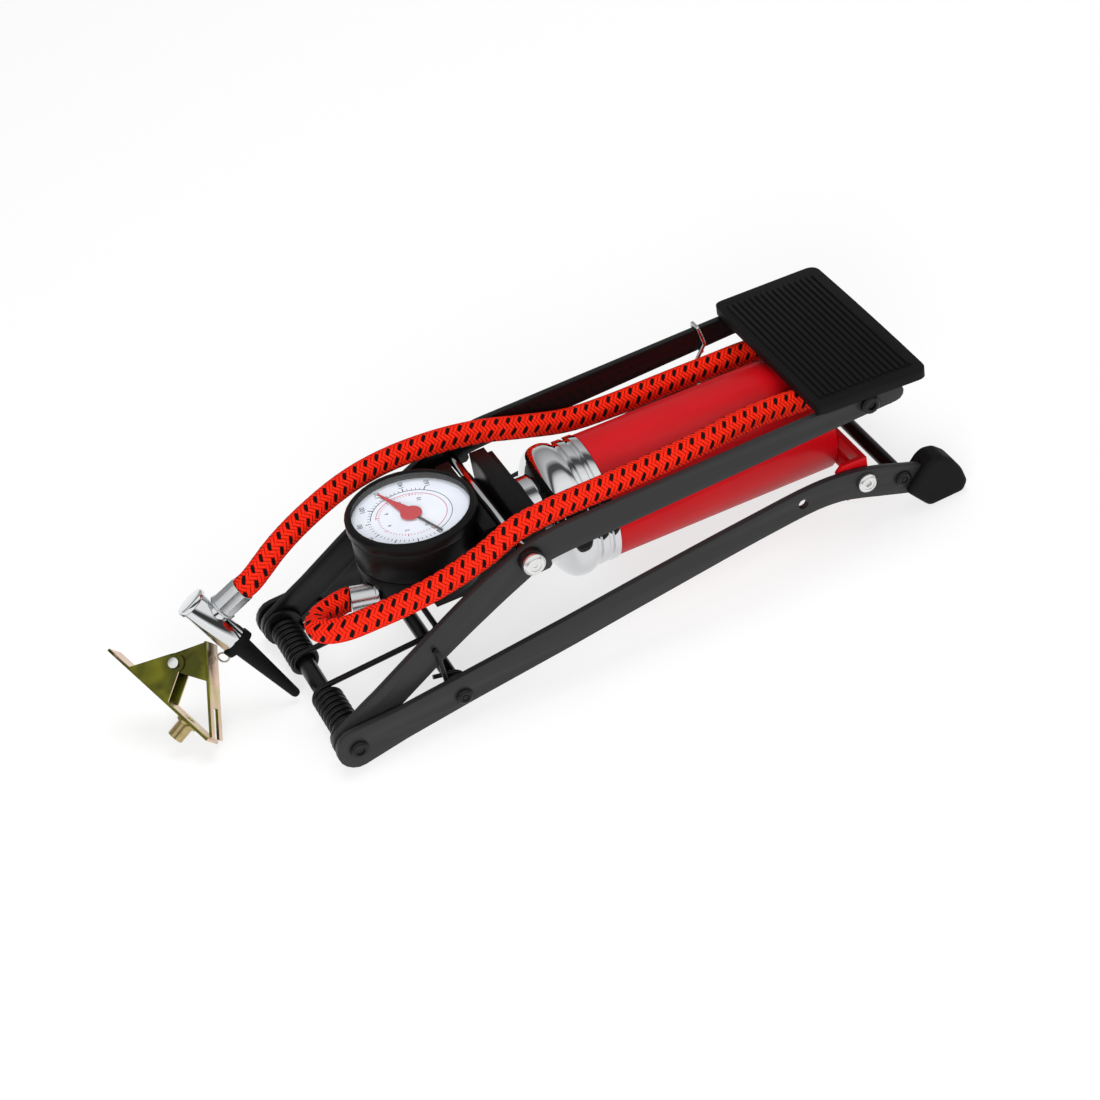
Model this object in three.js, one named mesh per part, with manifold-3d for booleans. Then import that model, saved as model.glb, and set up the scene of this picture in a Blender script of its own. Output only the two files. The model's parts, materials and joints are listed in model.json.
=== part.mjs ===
// A folded single-barrel foot pump with a pressure gauge, a braided hose and a clip-on valve connector.
// Millimetres. +X runs from the front axle to the pedal, +Y to the far side, +Z up; the floor is z = 0.

import * as THREE from "three";
import { mergeVertices } from "three/addons/utils/BufferGeometryUtils.js";
import Module from "manifold-3d";

const wasm = await Module();
wasm.setup();

// Clearances
const gap = 0.3;
const overrun = 1;
const degree = Math.PI / 180;
const quarterTurn = Math.PI / 2;
const fullTurn = Math.PI * 2;

// Base frame
const frameWidth = 104;
const railThickness = 3;
const railHeight = 15;
const eyeRadius = 9.4;
const baseLength = 272;
const baseRise = 18.3;
// Places along the base rail: share of its length, share of its rise and share of its height to each side
const baseRouteShares = [
  [0, 0, 0.613], [0.074, 0.09, 0.51], [0.188, 0.245, 0.475], [0.368, 0.47, 0.455], [0.493, 0.655, 0.44], [0.695, 0.915, 0.407],
  [0.801, 1, 0.407], [0.846, 0.935, 0.42], [0.879, 0.81, 0.455], [0.915, 0.615, 0.47], [0.952, 0.39, 0.46], [1, 0.11, 0.45],
];
const openHole = { x: 211.8, radius: 2.3 };

// Front axle and what is on it
const axle = { radius: 3, headRadius: 4, headHeight: 1.5, sleeveRadius: 3.9 };
const axleBush = { radius: 8.8, thickness: 2.2, wallRadius: 4.6 };
const axleWasher = { radius: 7, thickness: 2 };

// Cross rods of the base
const crossbar = { radius: 3.2, tenonRadius: 2.2, headRadius: 3.6, headHeight: 1.5 };
const midCrossbar = { x: 48.5, z: 11.4 };
const rearCrossbar = { x: 258.4, z: 17.8 };

// Arm frame
const armThickness = 3;
const sideGap = 2.6;
const armLength = 269;
const armRise = 50.8;
// Places along the arm: share of its length, share of its rise and share of the base rail's height to each side
const armRouteShares = [
  [0, 0, 0.607], [0.034, 0.132, 0.48], [0.07, 0.236, 0.453], [0.167, 0.512, 0.453], [0.25, 0.73, 0.48], [0.322, 0.89, 0.467],
  [0.369, 0.976, 0.433], [0.409, 0.996, 0.44], [0.455, 0.994, 0.433], [0.682, 0.978, 0.38], [0.909, 0.96, 0.323], [1, 0.945, 0.273],
];
const armTab = { x: 97.5, z: 52.5, length: 7.5, height: 6, corner: 1.4 };
const armPivot = { x: 92.5, z: 58.9, rodRadius: 2.2, headRadius: 5, headHeight: 3, shankRadius: 2, pilotRadius: 1.2, pilotLength: 5 };
const armCollar = { radius: 5.4, thickness: 3.4 };

// Pedal
const pedal = {
  x: 227.8, z: 69, tilt: 4.6, length: 51, frontHalf: 49, rearHalf: 50, cornerRadius: 4.5, bow: 1.2,
  thickness: 2.6, skirt: 4.1, skirtWall: 2.2, ribs: 16, ribHeight: 0.9, ribWidth: 1.5, ribHalf: 43, ribMargin: 4.5,
};
const pedalPlate = { thickness: 1.8, front: 15, rear: 4, drop: 11, flangeLength: 22 };
const pedalBolt = { x: 251.4, z: 58.4, headRadius: 4.2, headHeight: 2.6, shankRadius: 2, nutRadius: 3.6, nutHeight: 2.6 };

// Barrel pivots
const barrelPivot = { x: 241.5, z: 24.7, headRadius: 4.4, headHeight: 2.6, shankRadius: 2.6, endRadius: 1.8 };
const clevis = { thickness: 2.5, height: 18.5, earLength: 11, setBack: 0.9 };

// Barrel
const barrelTilt = 2.86;
const barrelRise = 7.7;
const barrel = { radius: 27.5, wall: 1.6, length: 103.5, baseThickness: 4 };
const cap = { plugDepth: 6, wall: 3, cavityDepth: 9 };
// The chromed cap from the barrel forwards: share of its length, share of the barrel's radius
const capLength = 31.2;
const capProfileShares = [
  [0.01, 1.025], [0.1, 1.025], [0.115, 0.98], [0.16, 0.98], [0.18, 1.022], [0.275, 1.022], [0.295, 0.98], [0.34, 0.98],
  [0.365, 1.045], [0.45, 1.08], [0.545, 1.08], [0.64, 1.05], [0.72, 0.97], [0.78, 0.85], [0.81, 0.745], [0.83, 0.727],
  [0.975, 0.727], [1, 0.7],
];
const capSlot = { width: 1.6, length: 7, depth: 1.4, turn: 38 };
const gland = { radius: 7.4, depth: 9 };

// Rod and piston
const rod = { radius: 4.6, bore: 2, seat: 14 };
const piston = { headThickness: 6, cupThickness: 5, headClearance: 1.1, rearClearance: 5, nutRadius: 8, nutHeight: 5, lip: 2.2 };

// Gauge block: the moulding that joins rod, cross rod, gauge and outlet
const block = {
  capGap: 0.6, crossHalf: 27, crossLength: 26, crossTop: 33.4, crossFloor: 15.6, slotAlong: 2.45, slotUp: 4.1,
  hubRadius: 12.5, hubLength: 23, neckHalf: 15, neckLow: -4, neckLength: 50,
};

// Gauge, its own axis leaning back a little
const gauge = {
  x: 60.8, z: 70, tilt: 5, dialRadius: 25.6, lipRadius: 25, bezelRadius: 28, bezelHeight: 5.4, bezelTop: 2.6, caseRadius: 26.8,
  caseDepth: 17, socketDepth: 29, dialDrop: 1.4, dialThickness: 0.8, lensThickness: 1, boss: 1.6,
};
const pointer = { tip: 21.5, tail: 20, width: 2, needle: 0.7, hub: 4.6, thickness: 0.6, spindle: 0.8, turn: 109.6 };

// Outlet
const outlet = { y: -9.5, z: 44.6, yaw: 14, pitch: 8, pin: 2.6, pinDepth: 6, collar: 5.9, collarLength: 1.6, sleeve: 5.5, sleeveLength: 10.5 };

// Hose
const hoseRadius = 5.25;
const hoseSides = 10;
const hoseSteps = 76;
const hoseStub = 10.5;

// Arm spring: one wire, two coils round the sleeve and a bridge over the mid crossbar
const spring = {
  wire: 1.3, turns: 8, innerEnd: 13, baseAngle: 2.5, armAngle: 24, armLeg: 19, bridgeReach: 5.5, bend: 3, bridgeCorner: 6, rise: 1.6,
};


// Latch wire on the mid crossbar
const latch = { wire: 1, innerEnd: 40.7, turns: 2, tail: 8, height: 25.5, hook: 2.5 };

// Hose clip on the far arm rail
const hoseClip = { x: 216, wire: 0.9, low: 36.5, inner: 29.2, corner: 3 };

// Chuck: a chromed cross piece with the nozzle in it
const chuck = {
  x: -24.5, y: 17.8, z: 33, heading: 137.9, pitch: 55.2, radius: 6.2, length: 23.2, capRadius: 7.2, capLength: 2.8,
  bossRadius: 4.6, stemHeading: -10.6, stemPitch: 35.5, stemPlace: 14, flangeRadius: 7, flangeLength: 1.6, ferruleRadius: 6.3,
  ferruleLength: 17, ferruleFlats: 10, bore: 3,
};
const nozzle = { collarRadius: 7.4, collarLength: 3.6, root: 5.6, tip: 1.9, length: 37, neck: 2.6, neckDepth: 4 };

// Clip-on connector, in its own frame: u runs from the jaw to the handles, v across from plate to plate
const clip = {
  x: -49.7, y: -3.8, z: 6, heading: 89.1, pitch: 36, roll: 18.5, half: 22.1, length: 60, shortLength: 41, width: 13, thickness: 1.2,
  jawGap: 0.35, pinPlace: 36, earBase: 24, earRadius: 4.4, earWall: 1, pinRadius: 1.6, pinHead: 2.4, notchWidth: 5, notchLength: 13,
};
const spigot = { place: 14, radius: 3.6, flange: 4.9, flangeLength: 1.4, length: 9, bore: 1.6, shank: 2.2 };
const tether = { radius: 2.4, wire: 0.45, along: 34 };

// Facets
const fine = 40;
const medium = 20;
const coarse = 14;

// Half widths worked out from the frame
const baseOuter = frameWidth / 2;
const baseInner = baseOuter - railThickness;
const armOuter = baseInner - sideGap;
const armInner = armOuter - armThickness;
const axleZ = eyeRadius;
const clevisOuter = baseInner - gap * 3;

// A geometry as a solid: vertices merged, slivers left out and faces turned outwards
function solidOf(geometry) {
  const bare = geometry.index ? geometry.clone() : geometry.clone();
  for (const name of Object.keys(bare.attributes)) if (name !== "position") bare.deleteAttribute(name);
  const merged = mergeVertices(bare, 1e-4);
  const place = merged.attributes.position;
  const corner = merged.index.array;
  const kept = [];
  let volume = 0;
  const a = new THREE.Vector3();
  const b = new THREE.Vector3();
  const c = new THREE.Vector3();
  for (let i = 0; i < corner.length; i += 3) {
    const [i0, i1, i2] = [corner[i], corner[i + 1], corner[i + 2]];
    if (i0 === i1 || i1 === i2 || i2 === i0) continue;
    a.fromBufferAttribute(place, i0);
    b.fromBufferAttribute(place, i1);
    c.fromBufferAttribute(place, i2);
    volume += a.dot(b.clone().cross(c));
    kept.push(i0, i1, i2);
  }
  if (volume < 0) for (let i = 0; i < kept.length; i += 3) [kept[i + 1], kept[i + 2]] = [kept[i + 2], kept[i + 1]];
  const mesh = new wasm.Mesh({ numProp: 3, vertProperties: new Float32Array(place.array), triVerts: new Uint32Array(kept) });
  return new wasm.Manifold(mesh);
}

function geometryOf(solid) {
  const mesh = solid.getMesh();
  const geometry = new THREE.BufferGeometry();
  geometry.setAttribute("position", new THREE.BufferAttribute(Float32Array.from(mesh.vertProperties), 3));
  geometry.setIndex(new THREE.BufferAttribute(Uint32Array.from(mesh.triVerts), 1));
  geometry.computeVertexNormals();
  return geometry;
}

const joined = (first, ...rest) => rest.reduce((all, one) => all.add(one), first);
const cutBy = (first, ...rest) => rest.reduce((all, one) => all.subtract(one), first);

function moved(geometry, x, y, z) {
  geometry.translate(x, y, z);
  return geometry;
}

// A turned piece about Y; the profile holds radius and height, and closes on itself or on the axis
function turned(profile, sides = medium) {
  return new THREE.LatheGeometry(profile.map(([r, y]) => new THREE.Vector2(r, y)), sides);
}

// A six-sided nut with a round bore
function nut(bore, radius, low, high) {
  return solidOf(turned(discProfile(radius, low, high), 6)).subtract(solidOf(turned(discProfile(bore, low - overrun, high + overrun), medium)));
}

// The same piece with its axis along another direction
const turnedUp = (profile, sides) => turned(profile, sides).rotateX(quarterTurn);
const turnedForward = (profile, sides) => turned(profile, sides).rotateZ(quarterTurn);

const discProfile = (radius, low, high) => [[0, low], [radius, low], [radius, high], [0, high]];
const ringProfile = (inner, outer, low, high) => [[inner, low], [outer, low], [outer, high], [inner, high], [inner, low]];

// A flat piece cut from an outline in X and Z, between two places across
function slab(outline, low, high, holes = []) {
  const shape = new THREE.Shape(outline.map(([x, z]) => new THREE.Vector2(x, z)));
  for (const [x, z, radius] of holes) shape.holes.push(new THREE.Path().absarc(x, z, radius, 0, fullTurn, true));
  const geometry = new THREE.ExtrudeGeometry(shape, { depth: high - low, bevelEnabled: false, curveSegments: coarse });
  return moved(geometry.rotateX(quarterTurn), 0, high, 0);
}

// A rod across the pump, at a place in X and Z, cut straight through what it meets
const acrossHole = (x, z, radius, low, high, sides = coarse) => solidOf(moved(turned(discProfile(radius, low, high), sides), x, 0, z));

// A wire along points: one unbroken tube with flat ends
function wire(points, radius, sides) {
  const count = points.length;
  const along = points.map((p, i) => {
    const back = points[Math.max(i - 1, 0)];
    const ahead = points[Math.min(i + 1, count - 1)];
    const one = i > 0 ? p.clone().sub(back).normalize() : ahead.clone().sub(p).normalize();
    const two = i < count - 1 ? ahead.clone().sub(p).normalize() : one;
    return one.clone().add(two).normalize();
  });
  let normal = new THREE.Vector3(0, 0, 1);
  if (Math.abs(along[0].dot(normal)) > 0.9) normal = new THREE.Vector3(0, 1, 0);
  const places = [];
  for (let i = 0; i < count; i += 1) {
    normal.addScaledVector(along[i], -normal.dot(along[i])).normalize();
    const side = along[i].clone().cross(normal);
    const before = i > 0 ? points[i].clone().sub(points[i - 1]).normalize() : along[i];
    const stretch = 1 / Math.max(along[i].dot(before), 0.5);
    const inward = before.clone().addScaledVector(along[i], -before.dot(along[i]));
    if (inward.lengthSq() > 0) inward.normalize();
    for (let k = 0; k < sides; k += 1) {
      const turn = (k / sides) * fullTurn;
      const out = normal.clone().multiplyScalar(Math.cos(turn)).addScaledVector(side, Math.sin(turn));
      out.addScaledVector(inward, out.dot(inward) * (stretch - 1));
      places.push(...points[i].clone().addScaledVector(out, radius).toArray());
    }
  }
  const index = [];
  for (let i = 0; i + 1 < count; i += 1) {
    for (let k = 0; k < sides; k += 1) {
      const [a, b] = [i * sides + k, i * sides + ((k + 1) % sides)];
      index.push(a, b, a + sides, b, b + sides, a + sides);
    }
  }
  const last = (count - 1) * sides;
  for (let k = 1; k + 1 < sides; k += 1) index.push(0, k + 1, k, last, last + k, last + k + 1);
  const geometry = new THREE.BufferGeometry();
  geometry.setAttribute("position", new THREE.Float32BufferAttribute(places, 3));
  geometry.setIndex(index);
  return geometry;
}

// The least space between the turns of one wire, from its own points
function leastGap(points, radius, apart) {
  let least = Infinity;
  const run = [0];
  for (let i = 1; i < points.length; i += 1) run.push(run[i - 1] + points[i].distanceTo(points[i - 1]));
  const dense = [];
  const place = [];
  for (let i = 1; i < points.length; i += 1) {
    for (let k = 0; k < 4; k += 1) {
      dense.push(points[i - 1].clone().lerp(points[i], k / 4));
      place.push(run[i - 1] + ((run[i] - run[i - 1]) * k) / 4);
    }
  }
  for (let i = 0; i < dense.length; i += 1) {
    for (let j = i + 1; j < dense.length; j += 1) {
      if (place[j] - place[i] > apart) least = Math.min(least, dense[i].distanceTo(dense[j]) - radius * 2);
    }
  }
  return least;
}

// Points of a round corner between two straight runs
function corner(before, at, after, radius, steps = 3) {
  const one = before.clone().sub(at).normalize();
  const two = after.clone().sub(at).normalize();
  const bend = Math.acos(THREE.MathUtils.clamp(one.dot(two), -1, 1));
  const back = radius / Math.tan(bend / 2);
  const from = at.clone().addScaledVector(one, back);
  const to = at.clone().addScaledVector(two, back);
  const points = [];
  for (let i = 0; i <= steps; i += 1) {
    const t = i / steps;
    points.push(from.clone().multiplyScalar((1 - t) ** 2).addScaledVector(at, 2 * t * (1 - t)).addScaledVector(to, t ** 2));
  }
  return points;
}

function rounded(route, radius, steps) {
  const points = [route[0]];
  for (let i = 1; i + 1 < route.length; i += 1) points.push(...corner(route[i - 1], route[i], route[i + 1], radius, steps));
  points.push(route[route.length - 1]);
  return points;
}

// The outline of a bent strip with a round eye at its start: places, heights and half heights along it
function stripOutline(stations, eye, steps, endRound) {
  const spine = new THREE.CatmullRomCurve3(stations.map(([x, z]) => new THREE.Vector3(x, 0, z)), false, "centripetal");
  const total = stations.length - 1;
  const upper = [];
  const lower = [];
  for (let i = 0; i <= steps; i += 1) {
    const t = i / steps;
    const at = spine.getPoint(t);
    const ahead = spine.getTangent(t);
    const index = Math.min(Math.floor(t * total), total - 1);
    const share = t * total - index;
    const half = stations[index][2] * (1 - share) + stations[index + 1][2] * share;
    upper.push([at.x - ahead.z * half, at.z + ahead.x * half]);
    lower.push([at.x + ahead.z * half, at.z - ahead.x * half]);
  }
  const start = spine.getTangent(0);
  const heading = Math.atan2(start.z, start.x);
  const outline = [];
  for (let i = 1; i < medium / 2; i += 1) {
    const turn = heading + quarterTurn + (Math.PI * i) / (medium / 2);
    outline.push([stations[0][0] + eye * Math.cos(turn), stations[0][1] + eye * Math.sin(turn)]);
  }
  outline.push(...lower);
  const end = spine.getTangent(1);
  const finish = Math.atan2(end.z, end.x);
  const half = stations[total][2];
  if (endRound) {
    const centre = spine.getPoint(1);
    for (let i = 1; i < 6; i += 1) {
      const turn = finish - quarterTurn + (Math.PI * i) / 6;
      outline.push([centre.x + half * Math.cos(turn), centre.z + half * Math.sin(turn)]);
    }
  }
  outline.push(...upper.reverse());
  return outline;
}

const baseStations = (spare = 0) => baseRouteShares.map(([along, up, side]) => [along * baseLength, axleZ + up * baseRise, side * railHeight + spare]);
const armStations = () => armRouteShares.map(([along, up, side]) => [along * (armLength - railHeight / 3), axleZ + up * armRise, side * railHeight]);

const materials = {
  rail: new THREE.MeshStandardMaterial({ color: 0x3c3c3d, roughness: 0.45, metalness: 0.3 }),
  rod: new THREE.MeshStandardMaterial({ color: 0x151516, roughness: 0.4, metalness: 0.3 }),
  zinc: new THREE.MeshStandardMaterial({ color: 0xe4e4e2, roughness: 0.3, metalness: 0.9 }),
  steel: new THREE.MeshStandardMaterial({ color: 0xb9bbbd, roughness: 0.3, metalness: 1 }),
  chrome: new THREE.MeshStandardMaterial({ color: 0xdfe1e3, roughness: 0.08, metalness: 1 }),
  red: new THREE.MeshStandardMaterial({ color: 0xb50c16, roughness: 0.18, metalness: 0.2 }),
  rubber: new THREE.MeshStandardMaterial({ color: 0x1c1c1d, roughness: 0.75, metalness: 0 }),
  plastic: new THREE.MeshStandardMaterial({ color: 0x161617, roughness: 0.42, metalness: 0 }),
  dial: new THREE.MeshStandardMaterial({ color: 0xe9ecf2, roughness: 0.5, metalness: 0 }),
  glass: new THREE.MeshStandardMaterial({ color: 0xffffff, roughness: 0.03, metalness: 0, transparent: true, opacity: 0.2 }),
  pointer: new THREE.MeshStandardMaterial({ color: 0xc21826, roughness: 0.4, metalness: 0 }),
  brass: new THREE.MeshStandardMaterial({ color: 0xc9a24a, roughness: 0.3, metalness: 1 }),
  passivated: new THREE.MeshStandardMaterial({ color: 0xc2b27a, roughness: 0.32, metalness: 0.9 }),
  braid: new THREE.MeshStandardMaterial({ color: 0xe0281c, roughness: 0.7, metalness: 0 }),
};

const pump = new THREE.Group();
function add(group, name, material, solid) {
  const mesh = new THREE.Mesh(geometryOf(solid), materials[material]);
  mesh.name = name;
  group.add(mesh);
}

// Both sides: the far piece is modelled and the near one is its mirror
function addPair(group, name, material, solid) {
  add(group, `${name}_far`, material, solid);
  const mirror = solid.getMesh();
  const places = Float32Array.from(mirror.vertProperties);
  for (let i = 1; i < places.length; i += 3) places[i] = -places[i];
  const corners = Uint32Array.from(mirror.triVerts);
  for (let i = 0; i < corners.length; i += 3) [corners[i + 1], corners[i + 2]] = [corners[i + 2], corners[i + 1]];
  const near = new wasm.Manifold(new wasm.Mesh({ numProp: 3, vertProperties: places, triVerts: corners }));
  add(group, `${name}_near`, material, near);
}

// Base rails: bent strips with an eye, holes for the rods and an open hole
function baseRails() {
  const stations = baseStations();
  const outline = stripOutline(stations, eyeRadius, 44, false);
  const holes = [
    [0, axleZ, axle.radius + gap],
    [midCrossbar.x, midCrossbar.z, crossbar.tenonRadius + gap],
    [openHole.x, axleZ + baseRise, openHole.radius],
    [barrelPivot.x, barrelPivot.z, barrelPivot.shankRadius + gap],
    [rearCrossbar.x, rearCrossbar.z, crossbar.tenonRadius + gap],
  ];
  addPair(pump, "base_rail", "rail", solidOf(slab(outline, baseInner, baseOuter, holes)));
}

// A rod between the rails with a thinner end through each and a rounded head outside
function rivetedRod(mainRadius, mainHalf, endRadius, headRadius, headHeight) {
  const seat = baseOuter + gap;
  const half = [
    [0, 0], [mainRadius, 0], [mainRadius, mainHalf], [endRadius, mainHalf], [endRadius, seat], [headRadius, seat],
    [headRadius, seat + headHeight / 2], [headRadius - headHeight / 2, seat + headHeight], [0, seat + headHeight],
  ];
  const profile = [...half.slice(1).map(([r, y]) => [r, -y]).reverse(), ...half.slice(2)];
  return turned(profile, medium);
}

function crossRods() {
  const main = rivetedRod(crossbar.radius, baseInner - gap, crossbar.tenonRadius, crossbar.headRadius, crossbar.headHeight);
  add(pump, "mid_crossbar", "rod", solidOf(moved(main.clone(), midCrossbar.x, 0, midCrossbar.z)));
  add(pump, "rear_crossbar", "rod", solidOf(moved(main, rearCrossbar.x, 0, rearCrossbar.z)));
  const pin = rivetedRod(axle.radius, baseInner, axle.radius, axle.headRadius, axle.headHeight);
  add(pump, "front_axle", "rod", solidOf(moved(pin, 0, 0, axleZ)));
}

function axlePieces() {
  const bushInner = armInner - gap - axleBush.thickness;
  const sleeve = ringProfile(axle.radius + gap, axle.sleeveRadius, gap - bushInner, bushInner - gap);
  add(pump, "axle_sleeve", "rod", solidOf(moved(turned(sleeve), 0, 0, axleZ)));
  const bush = ringProfile(axle.radius + gap, axleBush.radius, bushInner, armInner - gap);
  addPair(pump, "axle_bush", "rod", solidOf(moved(turned(bush), 0, 0, axleZ)));
  const washer = ringProfile(axle.radius + gap, axleWasher.radius, armOuter + gap, armOuter + gap + axleWasher.thickness);
  addPair(pump, "axle_washer", "zinc", solidOf(moved(turned(washer), 0, 0, axleZ)));
}

// Rubber foot: a block over the rail's end, leaning with it, with round edges and a flat sole
const foot = { wall: 4.6, front: 13.6, length: 28.2, height: 23.2, bevel: 1.4 };
// The foot's side outline: share of its length rearwards from its front, share of its height
const footOutlineShares = [
  [0, 0.49], [0.27, 0.04], [0.31, 0], [0.9, 0], [0.985, 0.15], [0.94, 0.47], [0.8, 0.79], [0.64, 0.96], [0.48, 1], [0.36, 0.94],
];

function feet() {
  const front = baseLength - foot.front;
  const { bevel } = foot;
  const middle = [0.6 * foot.length, 0.45 * foot.height];
  const drawnIn = footOutlineShares.map(([along, up]) => {
    const [x, z] = [along * foot.length, up * foot.height];
    const reach = Math.hypot(x - middle[0], z - middle[1]);
    const share = (reach - bevel) / reach;
    return new THREE.Vector2(front + middle[0] + (x - middle[0]) * share, middle[1] + (z - middle[1]) * share);
  });
  const low = baseInner - foot.wall + bevel;
  const high = baseOuter + foot.wall - bevel;
  const block = new THREE.ExtrudeGeometry(new THREE.Shape(drawnIn), {
    depth: high - low, bevelEnabled: true, bevelSize: bevel, bevelThickness: bevel, bevelSegments: 2, curveSegments: coarse,
  });
  block.rotateX(quarterTurn).translate(0, high, 0);
  block.computeBoundingBox();
  block.translate(0, 0, -block.boundingBox.min.z);
  const stations = baseStations(gap);
  const last = stations[stations.length - 1];
  const previous = stations[stations.length - 2];
  const run = Math.hypot(last[0] - previous[0], last[1] - previous[1]);
  last[0] += ((last[0] - previous[0]) / run) * gap;
  last[1] += ((last[1] - previous[1]) / run) * gap;
  const pocket = slab(stripOutline(stations, eyeRadius, 44, false), baseInner - gap, baseOuter + gap);
  addPair(pump, "rear_foot", "rubber", solidOf(block).subtract(solidOf(pocket)));
}

// Shouldered pivot screws of the barrel, with a thinner end in the bracket's ear
function barrelScrews() {
  const { x, z, headRadius, headHeight, shankRadius, endRadius } = barrelPivot;
  const seat = baseOuter + gap;
  const end = clevisOuter - clevis.thickness;
  const shoulder = clevisOuter + gap;
  const profile = [
    [0, end], [endRadius, end], [endRadius, shoulder], [shankRadius, shoulder], [shankRadius, seat], [headRadius, seat],
    [headRadius, seat + headHeight * 0.6], [headRadius - headHeight * 0.4, seat + headHeight], [0, seat + headHeight],
  ];
  addPair(pump, "barrel_screw", "zinc", solidOf(moved(turned(profile), x, 0, z)));
}

// A coil about a cross rod: points from one turn to another while the wire moves across
function coilPoints(cx, cz, radius, fromTurn, toTurn, fromY, toY, perTurn = 8) {
  const steps = Math.max(2, Math.round((Math.abs(toTurn - fromTurn) / fullTurn) * perTurn));
  const reach = radius / Math.cos(Math.PI / perTurn);
  const points = [];
  for (let i = 0; i <= steps; i += 1) {
    const share = i / steps;
    const turn = fromTurn + (toTurn - fromTurn) * share;
    points.push(new THREE.Vector3(cx + reach * Math.sin(turn), fromY + (toY - fromY) * share, cz - reach * Math.cos(turn)));
  }
  return points;
}

function armSpring() {
  const coilRadius = axle.sleeveRadius + gap + spring.wire;
  const outerEnd = armInner - gap - axleBush.thickness - gap - spring.wire;
  const startTurn = Math.PI + spring.baseAngle * degree;
  const endTurn = (spring.armAngle * degree) + fullTurn * spring.turns;
  const over = midCrossbar.z + crossbar.radius + gap + spring.wire;
  const half = coilPoints(0, axleZ, coilRadius, startTurn, endTurn, spring.innerEnd, outerEnd);
  const finish = half[half.length - 1];
  const leg = new THREE.Vector3(Math.cos(spring.armAngle * degree), 0, Math.sin(spring.armAngle * degree));
  const hookAt = finish.clone().addScaledVector(leg, spring.armLeg);
  const through = hookAt.clone().setY(armOuter + spring.wire);
  const far = [...half, ...corner(finish, hookAt, through, spring.bend), through];
  const rise = new THREE.Vector3(midCrossbar.x, spring.innerEnd, over);
  const bridge = new THREE.Vector3(midCrossbar.x + spring.bridgeReach, spring.innerEnd, over + spring.rise);
  const middle = new THREE.Vector3(midCrossbar.x + spring.bridgeReach, 0, over + spring.rise);
  const side = [middle, ...corner(middle, bridge, rise, spring.bridgeCorner / 2), rise, ...far];
  const mirrored = side.slice(1).map((p) => new THREE.Vector3(p.x, -p.y, p.z)).reverse();
  const points = [...mirrored, ...side];
  console.log("arm_spring least gap", leastGap(points, spring.wire, spring.wire * 4).toFixed(2));
  add(pump, "arm_spring", "rod", solidOf(wire(points, spring.wire, 5)));
}

function latchWire() {
  const coilRadius = crossbar.radius + gap + latch.wire;
  const outerEnd = armOuter + sideGap / 2;
  const { x, z } = midCrossbar;
  const coil = coilPoints(x, z, coilRadius, Math.PI, -quarterTurn - latch.turns * fullTurn, -latch.innerEnd, -outerEnd);
  const tail = coil[0].clone().add(new THREE.Vector3(-latch.tail, 0, latch.tail / 4));
  const top = coil[coil.length - 1].clone().add(new THREE.Vector3(0, 0, latch.height - latch.hook));
  const tip = top.clone().add(new THREE.Vector3(-latch.hook / 2, 0, latch.hook));
  const points = [tail, ...coil, top, tip];
  console.log("latch_wire least gap", leastGap(points, latch.wire, latch.wire * 4).toFixed(2));
  add(pump, "latch_wire", "rod", solidOf(wire(points, latch.wire, 6)));
}

// Arm rails: dog-legged strips with a small tab under the bend
function armRails() {
  const outline = stripOutline(armStations(), eyeRadius - gap, 44, true);
  const holes = [
    [0, axleZ, axle.radius + gap],
    [armPivot.x, armPivot.z, armPivot.shankRadius + gap],
    [pedalBolt.x, pedalBolt.z, pedalBolt.shankRadius + gap],
  ];
  const strip = solidOf(slab(outline, armInner, armOuter, holes));
  const { x, z, length, height, corner: cut } = armTab;
  const tabOutline = [
    [x - length / 2, z - height / 2 + cut], [x - length / 2 + cut, z - height / 2], [x + length / 2 - cut, z - height / 2],
    [x + length / 2, z - height / 2 + cut], [x + length / 2, z + height / 2], [x - length / 2, z + height / 2],
  ];
  addPair(pump, "arm_rail", "rail", strip.add(solidOf(slab(tabOutline, armInner, armOuter))));
}

function armCrossRod() {
  const { x, z, rodRadius, headRadius, headHeight, shankRadius, pilotRadius, pilotLength } = armPivot;
  const end = armInner - gap;
  const bore = pilotRadius + gap;
  const deep = end - pilotLength - gap;
  const half = [[rodRadius, end], [bore, end], [bore, deep], [0, deep]];
  const profile = [...half.map(([r, y]) => [r, -y]).reverse(), ...half];
  add(pump, "arm_cross_rod", "chrome", solidOf(moved(turned(profile, medium), x, 0, z)));
  const collar = ringProfile(shankRadius + gap, armCollar.radius, armOuter + gap, armOuter + gap + armCollar.thickness);
  addPair(pump, "arm_collar", "rod", solidOf(moved(turned(collar), x, 0, z)));
  const seat = armOuter + gap + armCollar.thickness + gap;
  const screw = [
    [0, end - pilotLength], [pilotRadius, end - pilotLength], [pilotRadius, armInner], [shankRadius, armInner], [shankRadius, seat],
    [headRadius, seat], [headRadius, seat + headHeight * 0.55], [headRadius - headHeight * 0.45, seat + headHeight], [0, seat + headHeight],
  ];
  addPair(pump, "arm_screw", "zinc", solidOf(moved(turned(screw), x, 0, z)));
}

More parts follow.
